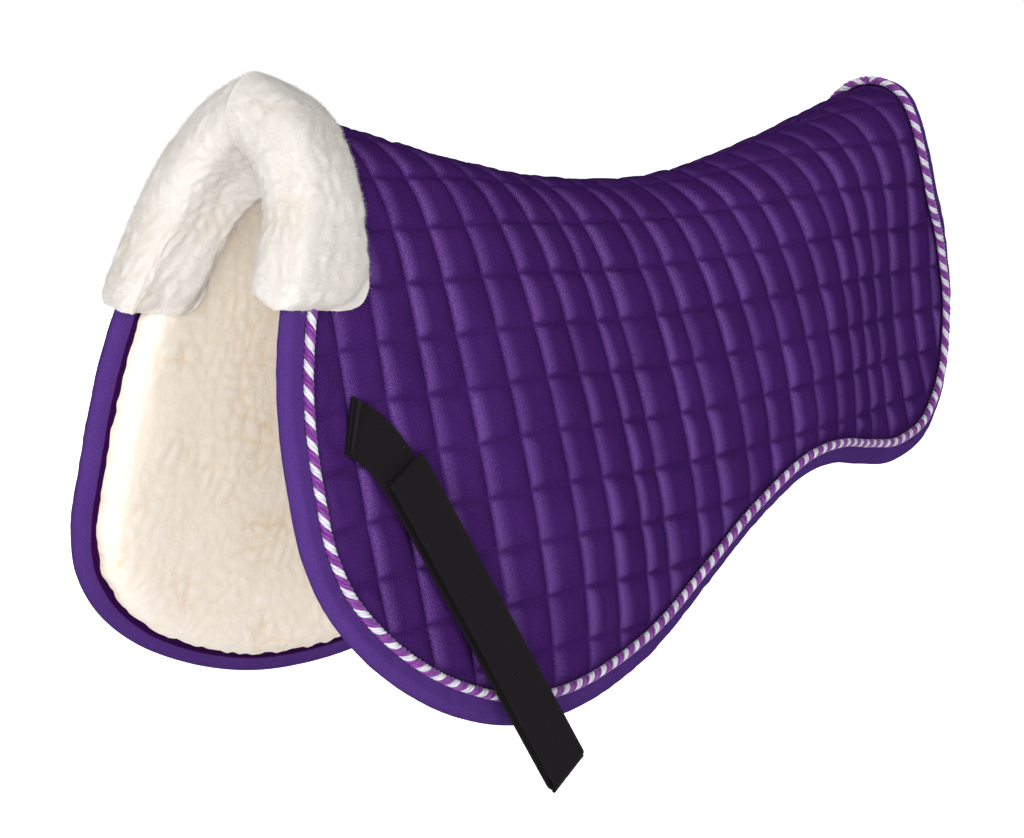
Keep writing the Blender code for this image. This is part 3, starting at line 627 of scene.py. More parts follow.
def quiltedCover(side, seed):
    column, row, flat = quiltGrid()
    keep, distance = cutAtSpineAndEdge(flat, quilting["edgeGap"], False)
    u, v = column - np.floor(column), row - np.floor(row)
    square = hashed(np.floor(column), np.floor(row), seed)
    skewed = u ** quilting["skew"]  # the wadding rides forward, so the front flank is the steep one
    acrossPuff = 1.0 - np.abs(2 * skewed - 1) ** quilting["roundness"]
    downPuff = 1.0 - np.abs(2 * v - 1) ** quilting["downRoundness"]
    crossed = quilting["rowDepth"] + (1.0 - quilting["rowDepth"]) * downPuff
    puff = acrossPuff ** 0.85 * crossed * (0.80 + 0.40 * square)
    # each square sags a little and leans one way or the other
    leaning = hashed(np.floor(column), np.floor(row), seed + 1) - 0.5
    lean = 1.0 + 0.35 * leaning * (u - 0.5) - 0.25 * (0.5 - v)
    calm = rising(distance, quilting["flatBand"], quilting["fade"])
    calm = calm * (0.25 + 0.75 * rising(flat[..., 1], 0.004, quilting["calmAtSpine"][side]))
    height = quilting["puffHeight"] * puff * lean * calm
    # puckers run away from the stitched seams
    nearRow = np.exp(-np.minimum(v, 1 - v) / 0.13)
    nearColumn = np.exp(-np.minimum(u, 1 - u) / 0.13)
    pucker = nearRow * (softNoise(flat[..., 0], flat[..., 1] * 0.3, 0.0038, seed + 2) - 0.5)
    pucker += 0.8 * nearColumn * (softNoise(flat[..., 0] * 0.3, flat[..., 1], 0.0042, seed + 3) - 0.5)
    offSeam = np.minimum(1.0, 8 * np.minimum(np.minimum(u, 1 - u), np.minimum(v, 1 - v)))
    height += quilting["pucker"] * pucker * calm * offSeam
    dimple = softNoise(flat[..., 0], flat[..., 1], 0.0085, seed + 4) - 0.5
    height += quilting["dimple"] * dimple * acrossPuff * downPuff * calm
    # the wadding gathers in soft waves, and the spine seam stands up as a thin ridge
    gathered = softNoise(flat[..., 0], flat[..., 1] * 0.6, 0.055, seed + 6) - 0.5
    height += quilting["gather"] * calm * gathered
    ridge = np.exp(-((flat[..., 1] - 0.0030) / 0.0016) ** 2) - 1.6 * np.exp(-(flat[..., 1] / 0.0016) ** 2)
    height += quilting["spineRidge"] * ridge
    if side < 0:
        height = np.minimum(height, underStrap(flat))
    # painted highlight: a lighter, grainy colour just behind each column, on the flank of each puff that
    # faces the light
    depthAndPaintedLight = rising(u, 0.0, 0.05) * np.clip(1.0 - (u - 0.06) / 0.26, 0.0, 1.0) ** 1.3
    depthAndPaintedLight *= np.clip(np.minimum(v, 1 - v) / 0.10, 0.15, 1.0) * (0.55 + 0.45 * square)
    return flat, height, keep, distance, depthAndPaintedLight * np.clip(calm, 0.12, 1.0)


for sideName, side in sides:
    flat, height, keep, distance, depthAndPaintedLight = quiltedCover(side, 3.0 + side)
    cover = shellFromGrid(sideName + "CoverQuilted", flat, height, keep, side,
                          -(layers["cover"] + layers["wadding"] + layers["gap"]), distance,
                          {"depthAndPaintedLight": depthAndPaintedLight})
    cover.data.materials.append(finishes["twill"])
    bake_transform(cover)
    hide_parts(sideName + "_quilted_cover", sideName + "_wadding")
print("quilted covers laid")

# fleece lining
fleece = {"step": 0.0016, "inset": 0.0106, "clump": 0.0078, "pileDepth": 0.0013, "roundOff": 0.008}
for sideName, side in sides:
    a = np.arange(-0.010, 0.640, fleece["step"])
    d = np.concatenate([[0.0], np.arange(fleece["step"] * 0.8, 0.300, fleece["step"])])
    flat = np.stack(np.meshgrid(a, d, indexing="ij"), -1)
    # a ragged edge of curls against the binding
    keep, distance = cutAtSpineAndEdge(flat, fleece["inset"], True)
    x, y = flat[..., 0], flat[..., 1]
    pile = sherpaPile(x / 1.3, y, fleece["clump"], 11.0 + side, 0.80)
    rag = (softNoise(x, y, 0.0042, 21.0 + side) - 0.5) * 0.0016
    border = distance < fleece["inset"] + 0.0008
    _, inward = edgeDistance(flat.reshape(-1, 2))
    flat[border] += (inward.reshape(flat.shape) * rag[..., None])[border]
    rounded = np.sqrt(1.0 - (1.0 - rising(distance, fleece["inset"], fleece["roundOff"])) ** 2)
    # the pile stands up beside the binding
    fluffed = 1.0 - (1.0 - rising(distance, 0.0, layers["pressWidth"])) ** 2.4
    base = (-stack + 0.0006) * (1.0 - layers["pressedAtEdge"] * (1.0 - fluffed))
    height = base + 0.0040 * (1 - rounded) - fleece["pileDepth"] * (pile - 0.5) * (0.35 + 0.65 * rounded)
    lining = shellFromGrid(sideName + "LiningFleece", flat, height, keep, side,
                           -(layers["cover"] + layers["wadding"]), distance, {"pile": np.clip(pile, 0, 1)})
    lining.data.materials.append(finishes["sherpa"])
    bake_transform(lining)
    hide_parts(sideName + "_fleece_lining")
print("fleece lining laid")


# points and faces of closed rings of flat points (rings, ring points, 3), laid on the back
def closedSweep(stations, side):
    world = layOnBack(stations.reshape(-1, 3), side)
    return world, ringFaces(world, *stations.shape[:2])


# edge binding
# how far in the tape reaches on the outside, by the share of the way round from the withers
binding = {"width": 0.0120, "tape": 0.0009, "gap": 0.0012, "step": 0.0020, "shadedTurnIn": 0.0050,
           "outsideWidth": ((0.0, 0.0105), (0.20, 0.0100), (0.30, 0.0112), (0.40, 0.0125),
                            (0.55, 0.0120), (0.66, 0.0098), (0.76, 0.0095), (0.85, 0.0112), (1.0, 0.0120))}


def outsideWidth(share):
    table = np.array(binding["outsideWidth"])
    return np.interp(share, table[:, 0], table[:, 1])


# outline of the folded tape: distance in from the edge, height; u runs across the tape
def bindingRing():
    upper = binding["gap"] + binding["tape"]
    lower = -(layers["cover"] + layers["gap"] + layers["wadding"]) - binding["gap"] - binding["tape"]
    middle, half = (upper + lower) / 2, (upper - lower) / 2
    nose = 0.0054
    outer = [(d, upper) for d in np.linspace(binding["width"], nose, 9)]
    outer += [(nose * (1 + math.cos(a)), middle + half * math.sin(a))
              for a in np.linspace(math.pi / 2, 3 * math.pi / 2, 13)[1:-1]]
    outer += [(d, lower) for d in np.linspace(nose, binding["width"], 10)]
    tape = binding["tape"]
    inner = [(binding["width"], lower + tape), (nose + tape, lower + 1.4 * tape),
             (tape * 1.5, middle), (nose + tape, upper - 1.4 * tape), (binding["width"], upper - tape)]
    return np.array(outer), np.array(inner)


for sideName, side in sides:
    path = smoothPath(halfEdge, binding["step"])
    inward = inwardOf(path)
    run = lengthAlong(path)
    outer, inner = bindingRing()
    ring = np.concatenate([outer, inner])
    across = np.concatenate([lengthAlong(outer), np.linspace(0.030, 0.0, len(inner))])
    rings = np.zeros((len(path), len(ring), 3))
    # the outside leg follows the cord; the inside leg keeps its width
    widen = outsideWidth(run / run[-1]) / binding["width"]
    reach = ring[None, :, 0] * np.where(ring[None, :, 1] > -0.004, widen[:, None], 1.0)
    rings[..., :2] = path[:, None, :] + inward[:, None, :] * reach[..., None]
    rings[..., 2] = ring[None, :, 1]
    s = np.repeat(run[:, None], len(ring), 1)
    w = np.repeat(across[None, :], len(path), 0)
    # small puckers of the tape as it is eased round the curve
    outerShare = np.zeros(len(ring))
    outerShare[:len(outer)] = 1.0
    ripple = (softNoise(s, w * 0.35, 0.0060, 31.0 + side) - 0.5) * 0.0007
    ripple += (softNoise(s, w * 0.2, 0.0022, 33.0 + side) - 0.5) * 0.00025
    rings[..., 2] += np.where(rings[..., 2] > -0.004, 1.0, -1.0) * ripple * outerShare
    # painted shade: the last strip of the lower leg, beside the fleece, gets a much darker colour and is
    # lifted a little
    turnedFrom = across[:len(outer)].max() - binding["shadedTurnIn"]
    turned = rising(w, turnedFrom, 0.0006) * outerShare
    rings[..., 2] += 0.0007 * turned
    rings[..., 1] = np.maximum(rings[..., 1], 0.0)
    rings[..., 2] = pressed(rings[..., 2], ring[None, :, 0].repeat(len(path), 0))
    world, faces = closedSweep(rings, side)
    band = meshFrom(sideName + "BindingTape", world, faces, np.stack([s, w], -1).reshape(-1, 2),
                    {"turned": turned.ravel()})
    band.data.materials.append(finishes["binding"])
    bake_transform(band)
    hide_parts(sideName + "_edge_binding")
print("binding folded round the edge")


# geometry node trees
def newTree(name, inputs):
    tree = bpy.data.node_groups.new(name, "GeometryNodeTree")
    tree.interface.new_socket(name="Geometry", in_out="INPUT", socket_type="NodeSocketGeometry")
    identifiers = {}
    for label, kind, value in inputs:
        socket = tree.interface.new_socket(name=label, in_out="INPUT", socket_type=kind)
        if value is not None:
            socket.default_value = value
        identifiers[label] = socket.identifier
    tree.interface.new_socket(name="Geometry", in_out="OUTPUT", socket_type="NodeSocketGeometry")
    return tree, identifiers, newNode(tree, "NodeGroupInput").outputs


# dress the geometry and put it out
def closeTree(tree, geometry, material):
    real = newNode(tree, "GeometryNodeRealizeInstances", {"Geometry": geometry})
    dressed = newNode(tree, "GeometryNodeSetMaterial", {"Geometry": real.outputs["Geometry"],
                      "Material": material})
    newNode(tree, "NodeGroupOutput", {"Geometry": dressed.outputs["Geometry"]})


def vectorMath(tree, operation, inputs):
    return newNode(tree, "ShaderNodeVectorMath", inputs, operation=operation).outputs[0]


# an instance on every point, turned along a vector
def onPoints(tree, points, instance, vector, scale):
    turned = newNode(tree, "FunctionNodeAlignRotationToVector", {"Vector": vector}, axis="Z")
    placed = newNode(tree, "GeometryNodeInstanceOnPoints", {"Points": points, "Instance": instance,
                     "Rotation": turned.outputs["Rotation"], "Scale": scale})
    return placed.outputs["Instances"]


# one strand wound round the path; the cord joins several of them
def twistedCordTree():
    tree, ids, start = newTree("twistedStrand", (
        ("Strand Radius", "NodeSocketFloat", 0.001), ("Wind Radius", "NodeSocketFloat", 0.0014),
        ("Lay Length", "NodeSocketFloat", 0.0115), ("Phase", "NodeSocketFloat", 0.0),
        ("Step", "NodeSocketFloat", 0.0009), ("Material", "NodeSocketMaterial", None)))
    even = newNode(tree, "GeometryNodeResampleCurve", {"Curve": start["Geometry"],
                    "Length": start["Step"]}, mode="LENGTH")
    along = newNode(tree, "GeometryNodeSplineParameter").outputs["Length"]
    turn = newNode(tree, "ShaderNodeMath", {0: along, 1: start["Lay Length"]}, operation="DIVIDE")
    angle = newNode(tree, "ShaderNodeMath", {0: turn.outputs[0], 1: 2 * math.pi, 2: start["Phase"]},
                     operation="MULTIPLY_ADD").outputs[0]
    normal = newNode(tree, "GeometryNodeInputNormal").outputs[0]
    tangent = newNode(tree, "GeometryNodeInputTangent").outputs[0]
    sideways = vectorMath(tree, "CROSS_PRODUCT", {0: tangent, 1: normal})
    cosine = newNode(tree, "ShaderNodeMath", {0: angle}, operation="COSINE").outputs[0]
    sine = newNode(tree, "ShaderNodeMath", {0: angle}, operation="SINE").outputs[0]
    one = vectorMath(tree, "SCALE", {0: normal, "Scale": cosine})
    two = vectorMath(tree, "SCALE", {0: sideways, "Scale": sine})
    both = vectorMath(tree, "ADD", {0: one, 1: two})
    offset = vectorMath(tree, "SCALE", {0: both, "Scale": start["Wind Radius"]})
    marked = newNode(tree, "GeometryNodeStoreNamedAttribute", {"Geometry": even.outputs["Curve"],
                      "Name": "strandAlong", "Value": along}, data_type="FLOAT", domain="POINT")
    wound = newNode(tree, "GeometryNodeSetPosition", {"Geometry": marked.outputs["Geometry"],
                     "Offset": offset})
    circle = newNode(tree, "GeometryNodeCurvePrimitiveCircle", {"Resolution": 8,
                      "Radius": start["Strand Radius"]}, mode="RADIUS")
    ringMarked = newNode(tree, "GeometryNodeStoreNamedAttribute", {"Geometry": circle.outputs["Curve"],
                      "Name": "strandAround", "Value":
                      newNode(tree, "GeometryNodeSplineParameter").outputs["Factor"]},
                      data_type="FLOAT", domain="POINT")
    tube = newNode(tree, "GeometryNodeCurveToMesh", {"Curve": wound.outputs["Geometry"],
                    "Profile Curve": ringMarked.outputs["Geometry"], "Fill Caps": True})
    closeTree(tree, tube.outputs["Mesh"], start["Material"])
    return tree, ids


# a short thread on each step of the seam lines
def stitchTree():
    tree, ids, start = newTree("seamStitches", (
        ("Stitch Length", "NodeSocketFloat", 0.0024), ("Pitch", "NodeSocketFloat", 0.0034),
        ("Thread Radius", "NodeSocketFloat", 0.00022), ("Material", "NodeSocketMaterial", None)))
    even = newNode(tree, "GeometryNodeResampleCurve", {"Curve": start["Geometry"],
                    "Length": start["Pitch"]}, mode="LENGTH")
    bead = newNode(tree, "GeometryNodeMeshUVSphere", {"Segments": 6, "Rings": 5, "Radius": 1.0})
    half = newNode(tree, "ShaderNodeMath", {0: start["Stitch Length"], 1: 0.5}, operation="MULTIPLY")
    size = newNode(tree, "ShaderNodeCombineXYZ", {"X": start["Thread Radius"],
                    "Y": start["Thread Radius"], "Z": half.outputs[0]})
    shaped = newNode(tree, "GeometryNodeTransform", {"Geometry": bead.outputs["Mesh"],
                      "Scale": size.outputs[0]})
    tangent = newNode(tree, "GeometryNodeInputTangent").outputs[0]
    placed = onPoints(tree, even.outputs["Curve"], shaped.outputs["Geometry"], tangent, (1.0, 1.0, 1.0))
    closeTree(tree, placed, start["Material"])
    return tree, ids


def curveOf(name, lines):
    curve = bpy.data.curves.new(name, "CURVE")
    curve.dimensions = "3D"
    for line in lines:
        spline = curve.splines.new("POLY")
        spline.points.add(len(line) - 1)
        spline.points.foreach_set("co", np.column_stack([line, np.ones(len(line))]).ravel())
    return linked(name, curve)


# the tree's result on a source object, as a plain mesh object
def madeBy(name, source, tree, ids, values):
    modifier = source.modifiers.new(name, "NODES")
    modifier.node_group = tree
    for label, value in values.items():
        modifier[ids[label]] = value
    bpy.context.view_layer.update()
    evaluated = source.evaluated_get(bpy.context.evaluated_depsgraph_get())
    mesh = bpy.data.meshes.new_from_object(evaluated)
    source.modifiers.remove(modifier)
    mesh.name = name
    mesh.polygons.foreach_set("use_smooth", np.ones(len(mesh.polygons), dtype=bool))
    return linked(name, mesh)


def joined(name, pieces):
    bpy.ops.object.select_all(action="DESELECT")
    for piece in pieces:
        piece.select_set(True)
    bpy.context.view_layer.objects.active = pieces[0]
    bpy.ops.object.join()
    pieces[0].name = name
    return pieces[0]


# twisted piping cord
piping = {"diameter": 0.0047, "seat": 0.0009, "lay": 0.0108, "strand": 0.00100, "wind": 0.00142,
          "fromRoll": 0.106, "strands": (("whiteStrand", 0, 0.88), ("whiteStrand", 74, 0.88),
                                         ("purpleStrand", 166, 1.08), ("purpleStrand", 268, 1.08))}
strandTree, strandIds = twistedCordTree()
for sideName, side in sides:
    path = smoothPath(halfEdge, 0.0020)
    run = lengthAlong(path)
    inset = outsideWidth(run / run[-1]) + piping["diameter"] / 2 - 0.0006
    line = path + inwardOf(path) * inset[:, None]
    line = line[run > piping["fromRoll"]]
    line[-1, 1] = 0.0
    height = np.full(len(line), piping["seat"] + piping["diameter"] / 2)
    world = layOnBack(np.column_stack([line, height]), side)
    guide = curveOf(sideName + "CordGuide", [world])
    strands = []
    for k, (finish, phase, swell) in enumerate(piping["strands"]):
        strands.append(madeBy("strand" + str(k), guide, strandTree, strandIds, {
            "Strand Radius": piping["strand"] * swell, "Wind Radius": piping["wind"],
            "Lay Length": piping["lay"] * side, "Phase": math.radians(phase),
            "Material": finishes[finish]}))
    bpy.data.objects.remove(guide)
    cord = joined(sideName + "PipingTwist", strands)
    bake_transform(cord)
    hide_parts(sideName + "_piping_cord")
print("cord twisted and laid")

# wither roll
roll = {"length": 0.113, "reach": 0.042, "front": 0.0130, "outer": 0.0135, "inner": 0.0290,
        "cant": 0.10, "bedOuter": 0.0043, "bedInner": -(stack + 0.0013), "outerSwell": (1.12, 0.72),
        "innerSwell": (1.0, 0.35), "frontSwell": (1.0, 0.38), "rearTaper": 0.45, "bedFront": 0.0066,
        "rearReach": ((0.0, 0.90), (0.15, 0.84), (0.30, 0.73), (0.50, 0.75), (0.70, 0.89),
                      (0.88, 1.06), (1.0, 1.08)),
        "lowerCut": {-1: 0.0050, 1: 0.0012}, "innerCut": {-1: 0.0090, 1: 0.0},
        "innerRound": {-1: 0.044, 1: 0.024},
        "trim": {-1: 0.0022, 1: 0.0}, "innerSetBack": {-1: 0.0, 1: 0.26},
        "clump": 0.0105, "pileDepth": 0.0023, "step": 0.0013,
        "fibre": 0.0019, "fibreRadius": 0.00008, "fibresPerArea": 1.1e6}


# smooth closed section of the roll: distance in from the edge, height
def rollRing():
    reach, bedOuter, bedInner = roll["reach"], roll["bedOuter"], roll["bedInner"]
    outer, inner, bend = roll["outer"], -roll["inner"], 0.008
    middle, half = (outer + inner) / 2, (outer - inner) / 2
    points = [(reach - 0.0005, bedOuter - 0.001), (reach + 0.0012, bedOuter + 0.35 * (outer - bedOuter)),
              (reach - 0.003, outer - 0.0022), (reach - 0.012, outer), (reach - 0.022, outer + 0.0004)]
    points += [(bend + (bend + roll["front"]) * math.cos(a), middle + half * math.sin(a))
               for a in np.linspace(math.pi / 2, 3 * math.pi / 2, 11)]
    points += [(reach - 0.022, inner - 0.0004), (reach - 0.012, inner), (reach - 0.003, inner + 0.0022),
               (reach + 0.0012, bedInner + 0.35 * (inner - bedInner)), (reach - 0.0005, bedInner + 0.001)]
    bedMiddle, bedHalf = (bedOuter + bedInner) / 2, (bedOuter - bedInner) / 2
    points += [(reach - 0.010, bedInner)]
    points += [(bend + (bend + roll["bedFront"]) * math.cos(a), bedMiddle + bedHalf * math.sin(a))
               for a in np.linspace(3 * math.pi / 2, math.pi / 2, 9)]
    points += [(reach - 0.010, bedOuter)]
    points = np.array(points)
    loop = np.concatenate([points[-2:], points, points[:3]])
    fine = []
    onBed = []
    bedFrom = 22  # first point of the ring that lies on the bed
    for k in range(1, len(points) + 1):
        p0, p1, p2, p3 = loop[k - 1], loop[k], loop[k + 1], loop[k + 2]
        for t in np.linspace(0, 1, 12, endpoint=False):
            onBed.append(1.0 if k >= bedFrom else 0.0)
            fine.append(0.5 * (2 * p1 + (p2 - p0) * t + (2 * p0 - 5 * p1 + 4 * p2 - p3) * t ** 2
                               + (3 * p1 - p0 - 3 * p2 + p3) * t ** 3))
    fine = np.array(fine + [fine[0]])
    length = lengthAlong(fine)
    even = np.linspace(0, length[-1], int(length[-1] / roll["step"]), endpoint=False)
    bed = np.interp(even, length, np.array(onBed + [onBed[0]]))
    return pointsAt(fine, length, even), even, bed


def rollRings(side):
    ring, around, bed = rollRing()
    share = np.linspace(0.0, 1.0, int(roll["length"] / roll["step"]) + 1)
    rings = np.zeros((len(share), len(ring), 3))
    for k, s in enumerate(share):
        inward, height = ring[:, 0].copy(), ring[:, 1].copy()
        up, low, out = [ends[0] + (ends[1] - ends[0]) * s
                        for ends in (roll["outerSwell"], roll["innerSwell"], roll["frontSwell"])]
        above, below = height > roll["bedOuter"], height < roll["bedInner"]
        # the lower end rounds over, and more so at its rear corner
        left = (1.0 - s) * roll["length"] - 0.014 * rising(inward, 0.024, 0.018) ** 2
        roundOff = np.where(height < roll["bedInner"], roll["innerRound"][side], 0.012)
        closing = np.sqrt(1.0 - (1.0 - rising(left, 0.0, roundOff)) ** 2)
        taper = up * (1.0 - roll["rearTaper"] * rising(inward, 0.0, roll["reach"]))
        height[above] = roll["bedOuter"] + ((height - roll["bedOuter"]) * taper * closing)[above]
        height[below] = roll["bedInner"] + ((height - roll["bedInner"]) * low * closing)[below]
        atFront = eased(rising(0.008, inward, 0.016))
        inward *= 1.0 + atFront * (out * (0.70 + 0.30 * closing) - 1.0)
        down = roll["length"] * s
        edge = float(np.interp(down, edgeFine[:200, 1], edgeFine[:200, 0]))
        # tight against the pad, and without a crease further out
        smooth = pressed(height, np.hypot(inward, 0.014) - 0.006)
        height = smooth + bed * (pressed(height, np.abs(inward)) - smooth)
        rear = inward > 0.006
        corner = 1.0 - (1.0 - min((1.0 - s) * roll["length"] / 0.010, 1.0)) ** 2
        reach = np.interp(s, *np.array(roll["rearReach"]).T) * (0.74 + 0.26 * math.sqrt(corner))
        inward[rear] = 0.006 + (inward[rear] - 0.006) * reach
        # the far half's inside is set back a little, where it parts from the near one
        below = rising(-height, 0.002, 0.016) * rising(inward, 0.0, 0.020)
        inward *= 1.0 - roll["innerSetBack"][side] * below * rising(s, 0.30, 0.40)
        cut = roll["lowerCut"][side] * rising(0.030, inward, 0.040) * s ** 3
        cut += roll["innerCut"][side] * rising(-height, 0.0, 0.010) * s ** 4 + roll["trim"][side] * s
        rings[k] = np.column_stack([edge + inward, down - roll["cant"] * inward * s - cut, height])
    return rings, around, share


# fibres that stand off a surface, each a thin cone
def fibreTree():
    tree, ids, start = newTree("fibres", (
        ("Density", "NodeSocketFloat", 1.0e6), ("Length", "NodeSocketFloat", 0.002),
        ("Radius", "NodeSocketFloat", 0.0001), ("Seed", "NodeSocketInt", 5),
        ("Material", "NodeSocketMaterial", None)))
    spread = newNode(tree, "GeometryNodeDistributePointsOnFaces", {"Mesh": start["Geometry"],
                      "Density": start["Density"], "Seed": start["Seed"]})
    lean = newNode(tree, "FunctionNodeRandomValue", {0: (-0.75, -0.75, -0.75), 1: (0.75, 0.75, 0.75),
                    "Seed": 11}, data_type="FLOAT_VECTOR")
    way = vectorMath(tree, "ADD", {0: spread.outputs["Normal"], 1: lean.outputs["Value"]})
    hair = newNode(tree, "GeometryNodeMeshCone", {"Vertices": 3, "Radius Top": 0.0,
                    "Radius Bottom": start["Radius"], "Depth": start["Length"]}, fill_type="NONE")
    size = newNode(tree, "FunctionNodeRandomValue", {2: 0.55, 3: 1.1, "Seed": 17}, data_type="FLOAT")
    placed = onPoints(tree, spread.outputs["Points"], hair.outputs["Mesh"], way, size.outputs[1])
    closeTree(tree, placed, start["Material"])
    return tree, ids


fibreNodes, fibreIds = fibreTree()
for sideName, side in sides:
    rings, around, share = rollRings(side)
    count = rings.shape[1]
    world, faces = closedSweep(rings, side)
    u = np.repeat(around[None, :], len(share), 0)
    v = np.repeat((share * roll["length"])[:, None], count, 1)
    pile = sherpaPile(u, v, roll["clump"], 41.0 + side, 1.05)
    soft = softNoise(u, v, 0.030, 45.0 + side) - 0.5
    grid = world.reshape(len(share), count, 3)
    alongGrid = np.gradient(grid, axis=0)
    aroundGrid = np.roll(grid, -1, axis=1) - np.roll(grid, 1, axis=1)
    normal = np.cross(alongGrid, aroundGrid)
    normal /= np.linalg.norm(normal, axis=2)[..., None] + 1e-12
    centre = grid.mean(axis=1, keepdims=True)
    if (normal * (grid - centre)).sum() < 0:
        normal = -normal
    atSpine = rising(v, 0.0, 0.006)
    grid = grid + normal * ((roll["pileDepth"] * (pile - 0.45) + 0.0020 * soft) * atSpine)[..., None]
    # both halves are drawn together under the crown
    offSpine = side * grid[0, :, 1]
    grid[..., 1] -= side * offSpine[None, :] * np.exp(-(v / 0.020) ** 1.5)
    verts = grid.reshape(-1, 3)
    verts[:, 1] = side * np.maximum(side * verts[:, 1], 0.0)
    # close the lower end with a fan from the last ring to its middle point
    base = len(verts)
    lastRing = np.arange(count) + (len(share) - 1) * count
    endCentre = verts[lastRing].mean(axis=0)
    verts = np.concatenate([verts, endCentre[None, :]])
    fan = np.stack([lastRing, np.roll(lastRing, -1), np.full(count, base), np.full(count, base)], -1)
    allFaces = np.concatenate([faces, fan])
    uv = np.concatenate([np.stack([u, v], -1).reshape(-1, 2), [[0.0, roll["length"]]]])
    rollPiece = meshFrom(sideName + "WitherRollFleece", verts, allFaces[:, :4], uv,
                         {"pile": np.concatenate([np.clip(pile, 0, 1).ravel(), [0.5]])})
    rollPiece.data.materials.append(finishes["roll"])
    fuzz = madeBy(sideName + "RollFuzz", rollPiece, fibreNodes, fibreIds, {
        "Density": roll["fibresPerArea"], "Length": roll["fibre"], "Radius": roll["fibreRadius"],
        "Seed": 5, "Material": finishes["wool"]})
    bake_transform(fuzz)
    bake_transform(rollPiece)
    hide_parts(sideName + "_wither_roll", sideName + "_roll_padding")
print("wither roll stuffed")

# quilting stitches
stitches = {"length": 0.0023, "pitch": 0.0033, "thread": 0.00018, "lift": -0.0002,
            "fromEdge": 0.019, "fromSpine": 0.002}
stitchNodes, stitchIds = stitchTree()
for sideName, side in sides:
    lines = []
    fine = np.arange(-3.0, 12.0, 0.08)
    for column in range(-3, 24):
        lines.append(np.stack(quiltToFlat(np.full(len(fine), float(column)), fine), 1))
    fine = np.arange(-4.0, 24.0, 0.08)
    for row in range(-2, 12):
        lines.append(np.stack(quiltToFlat(fine, np.full(len(fine), float(row))), 1))
    seams = []
    for line in lines:
        distance, _ = edgeDistance(line)
        underRoll = (line[:, 1] < roll["length"] - 0.004) & (distance < 0.036) & (line[:, 0] < 0.12)
        good = (distance > stitches["fromEdge"]) & (line[:, 1] > stitches["fromSpine"]) & ~underRoll
        runs = np.split(np.arange(len(line)), np.where(np.diff(good.astype(int)) != 0)[0] + 1)
        for part in runs:
            if good[part[0]] and len(part) > 3:
                calm = rising(distance[part], quilting["flatBand"], quilting["fade"])
                wave = 0.0009 * (softNoise(line[part, 0], line[part, 1], 0.060, 9.0 + side) - 0.5)
                lift = stitches["lift"] - quilting["seamDepth"] * 0.3 * calm + wave
                seams.append(layOnBack(np.column_stack([line[part], lift]), side))
    guide = curveOf(sideName + "SeamGuide", seams)
    sewn = madeBy(sideName + "QuiltingStitches", guide, stitchNodes, stitchIds, {
        "Stitch Length": stitches["length"], "Pitch": stitches["pitch"],
        "Thread Radius": stitches["thread"], "Material": finishes["purpleThread"]})
    bpy.data.objects.remove(guide)
    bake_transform(sewn)
print("quilting sewn")

# girth strap
# woven tape along a (distance, rise) line, with rounded selvedges
def tapePiece(name, centreLine, width, thickness, finish):
    centreLine = np.array(centreLine)
    run = lengthAlong(centreLine)
    even = np.linspace(0.0, run[-1], int(run[-1] / strap["step"]) + 1)
    line = pointsAt(centreLine, run, even)
    tangent = np.gradient(line, axis=0)
    tangent /= np.linalg.norm(tangent, axis=1)[:, None]
    lift = np.stack([-tangent[:, 1], tangent[:, 0]], 1)
    acrossTop = np.linspace(-0.5, 0.5, 21)
    section = []
    for face, row in ((0.5, acrossTop), (-0.5, acrossTop[::-1])):
        softer = 1 - 0.5 * np.maximum(0.0, (abs(row) - 0.44) / 0.06) ** 2
        section += list(zip(row * width, face * thickness * softer))
    section = np.array(section)
    count = len(section)
    centre = line[:, None, :] + lift[:, None, :] * section[None, :, 1, None]
    across = np.repeat(section[None, :, 0], len(line), 0)
    verts = strapPlace(centre[..., 0].ravel(), centre[..., 1].ravel(), across.ravel())
    faces = ringFaces(verts, len(line), count)
    caps = []
    for ring in (np.arange(count), np.arange(count) + (len(line) - 1) * count):
        for k in range(count // 2 - 1):
            caps.append((ring[k], ring[k + 1], ring[count - 2 - k], ring[count - 1 - k]))
    uv = np.stack([np.repeat(even[:, None], count, 1), across], -1).reshape(-1, 2)
    piece = meshFrom(name, verts, np.concatenate([faces, np.array(caps)]), uv)
    piece.data.materials.append(finish)
    return piece


# centre line that runs to the strap's lower end and turns a quarter to meet the other tape
def foldLine(start, low, bottom):
    middle = strapStack / 2
    radius = middle - strap["tape"] / 2
    sign = 1.0 if bottom else -1.0
    line = [(d, low) for d in np.linspace(start, strap["length"], 90)]
    line += [(strap["length"] + radius * math.sin(a), middle - sign * radius * math.cos(a))
             for a in np.linspace(0.0, math.pi / 2 - 0.06, 8)[1:]]
    return line


half = strap["tape"] / 2
webbing = tapePiece("strapWebbing", foldLine(0.0, half, True), strap["width"], strap["tape"] - 0.0001,
                    finishes["webbing"])
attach(webbing, "strap")
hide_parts("strap_webbing")
tail = tapePiece("strapTail", foldLine(strap["tip"], strapStack - half, False), strap["width"],
                 strap["tape"] - 0.0001, finishes["webbing"])
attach(tail, "tail")
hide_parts("strap_tail")
for name, finish in (("hook_tape", "touchTape"), ("loop_tape", "touchTape"),
                     ("strap_bar_tack", "blackThread"), ("spine_seam_tape", "binding")):
    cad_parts[name].data.materials.clear()
    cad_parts[name].data.materials.append(finishes[finish])
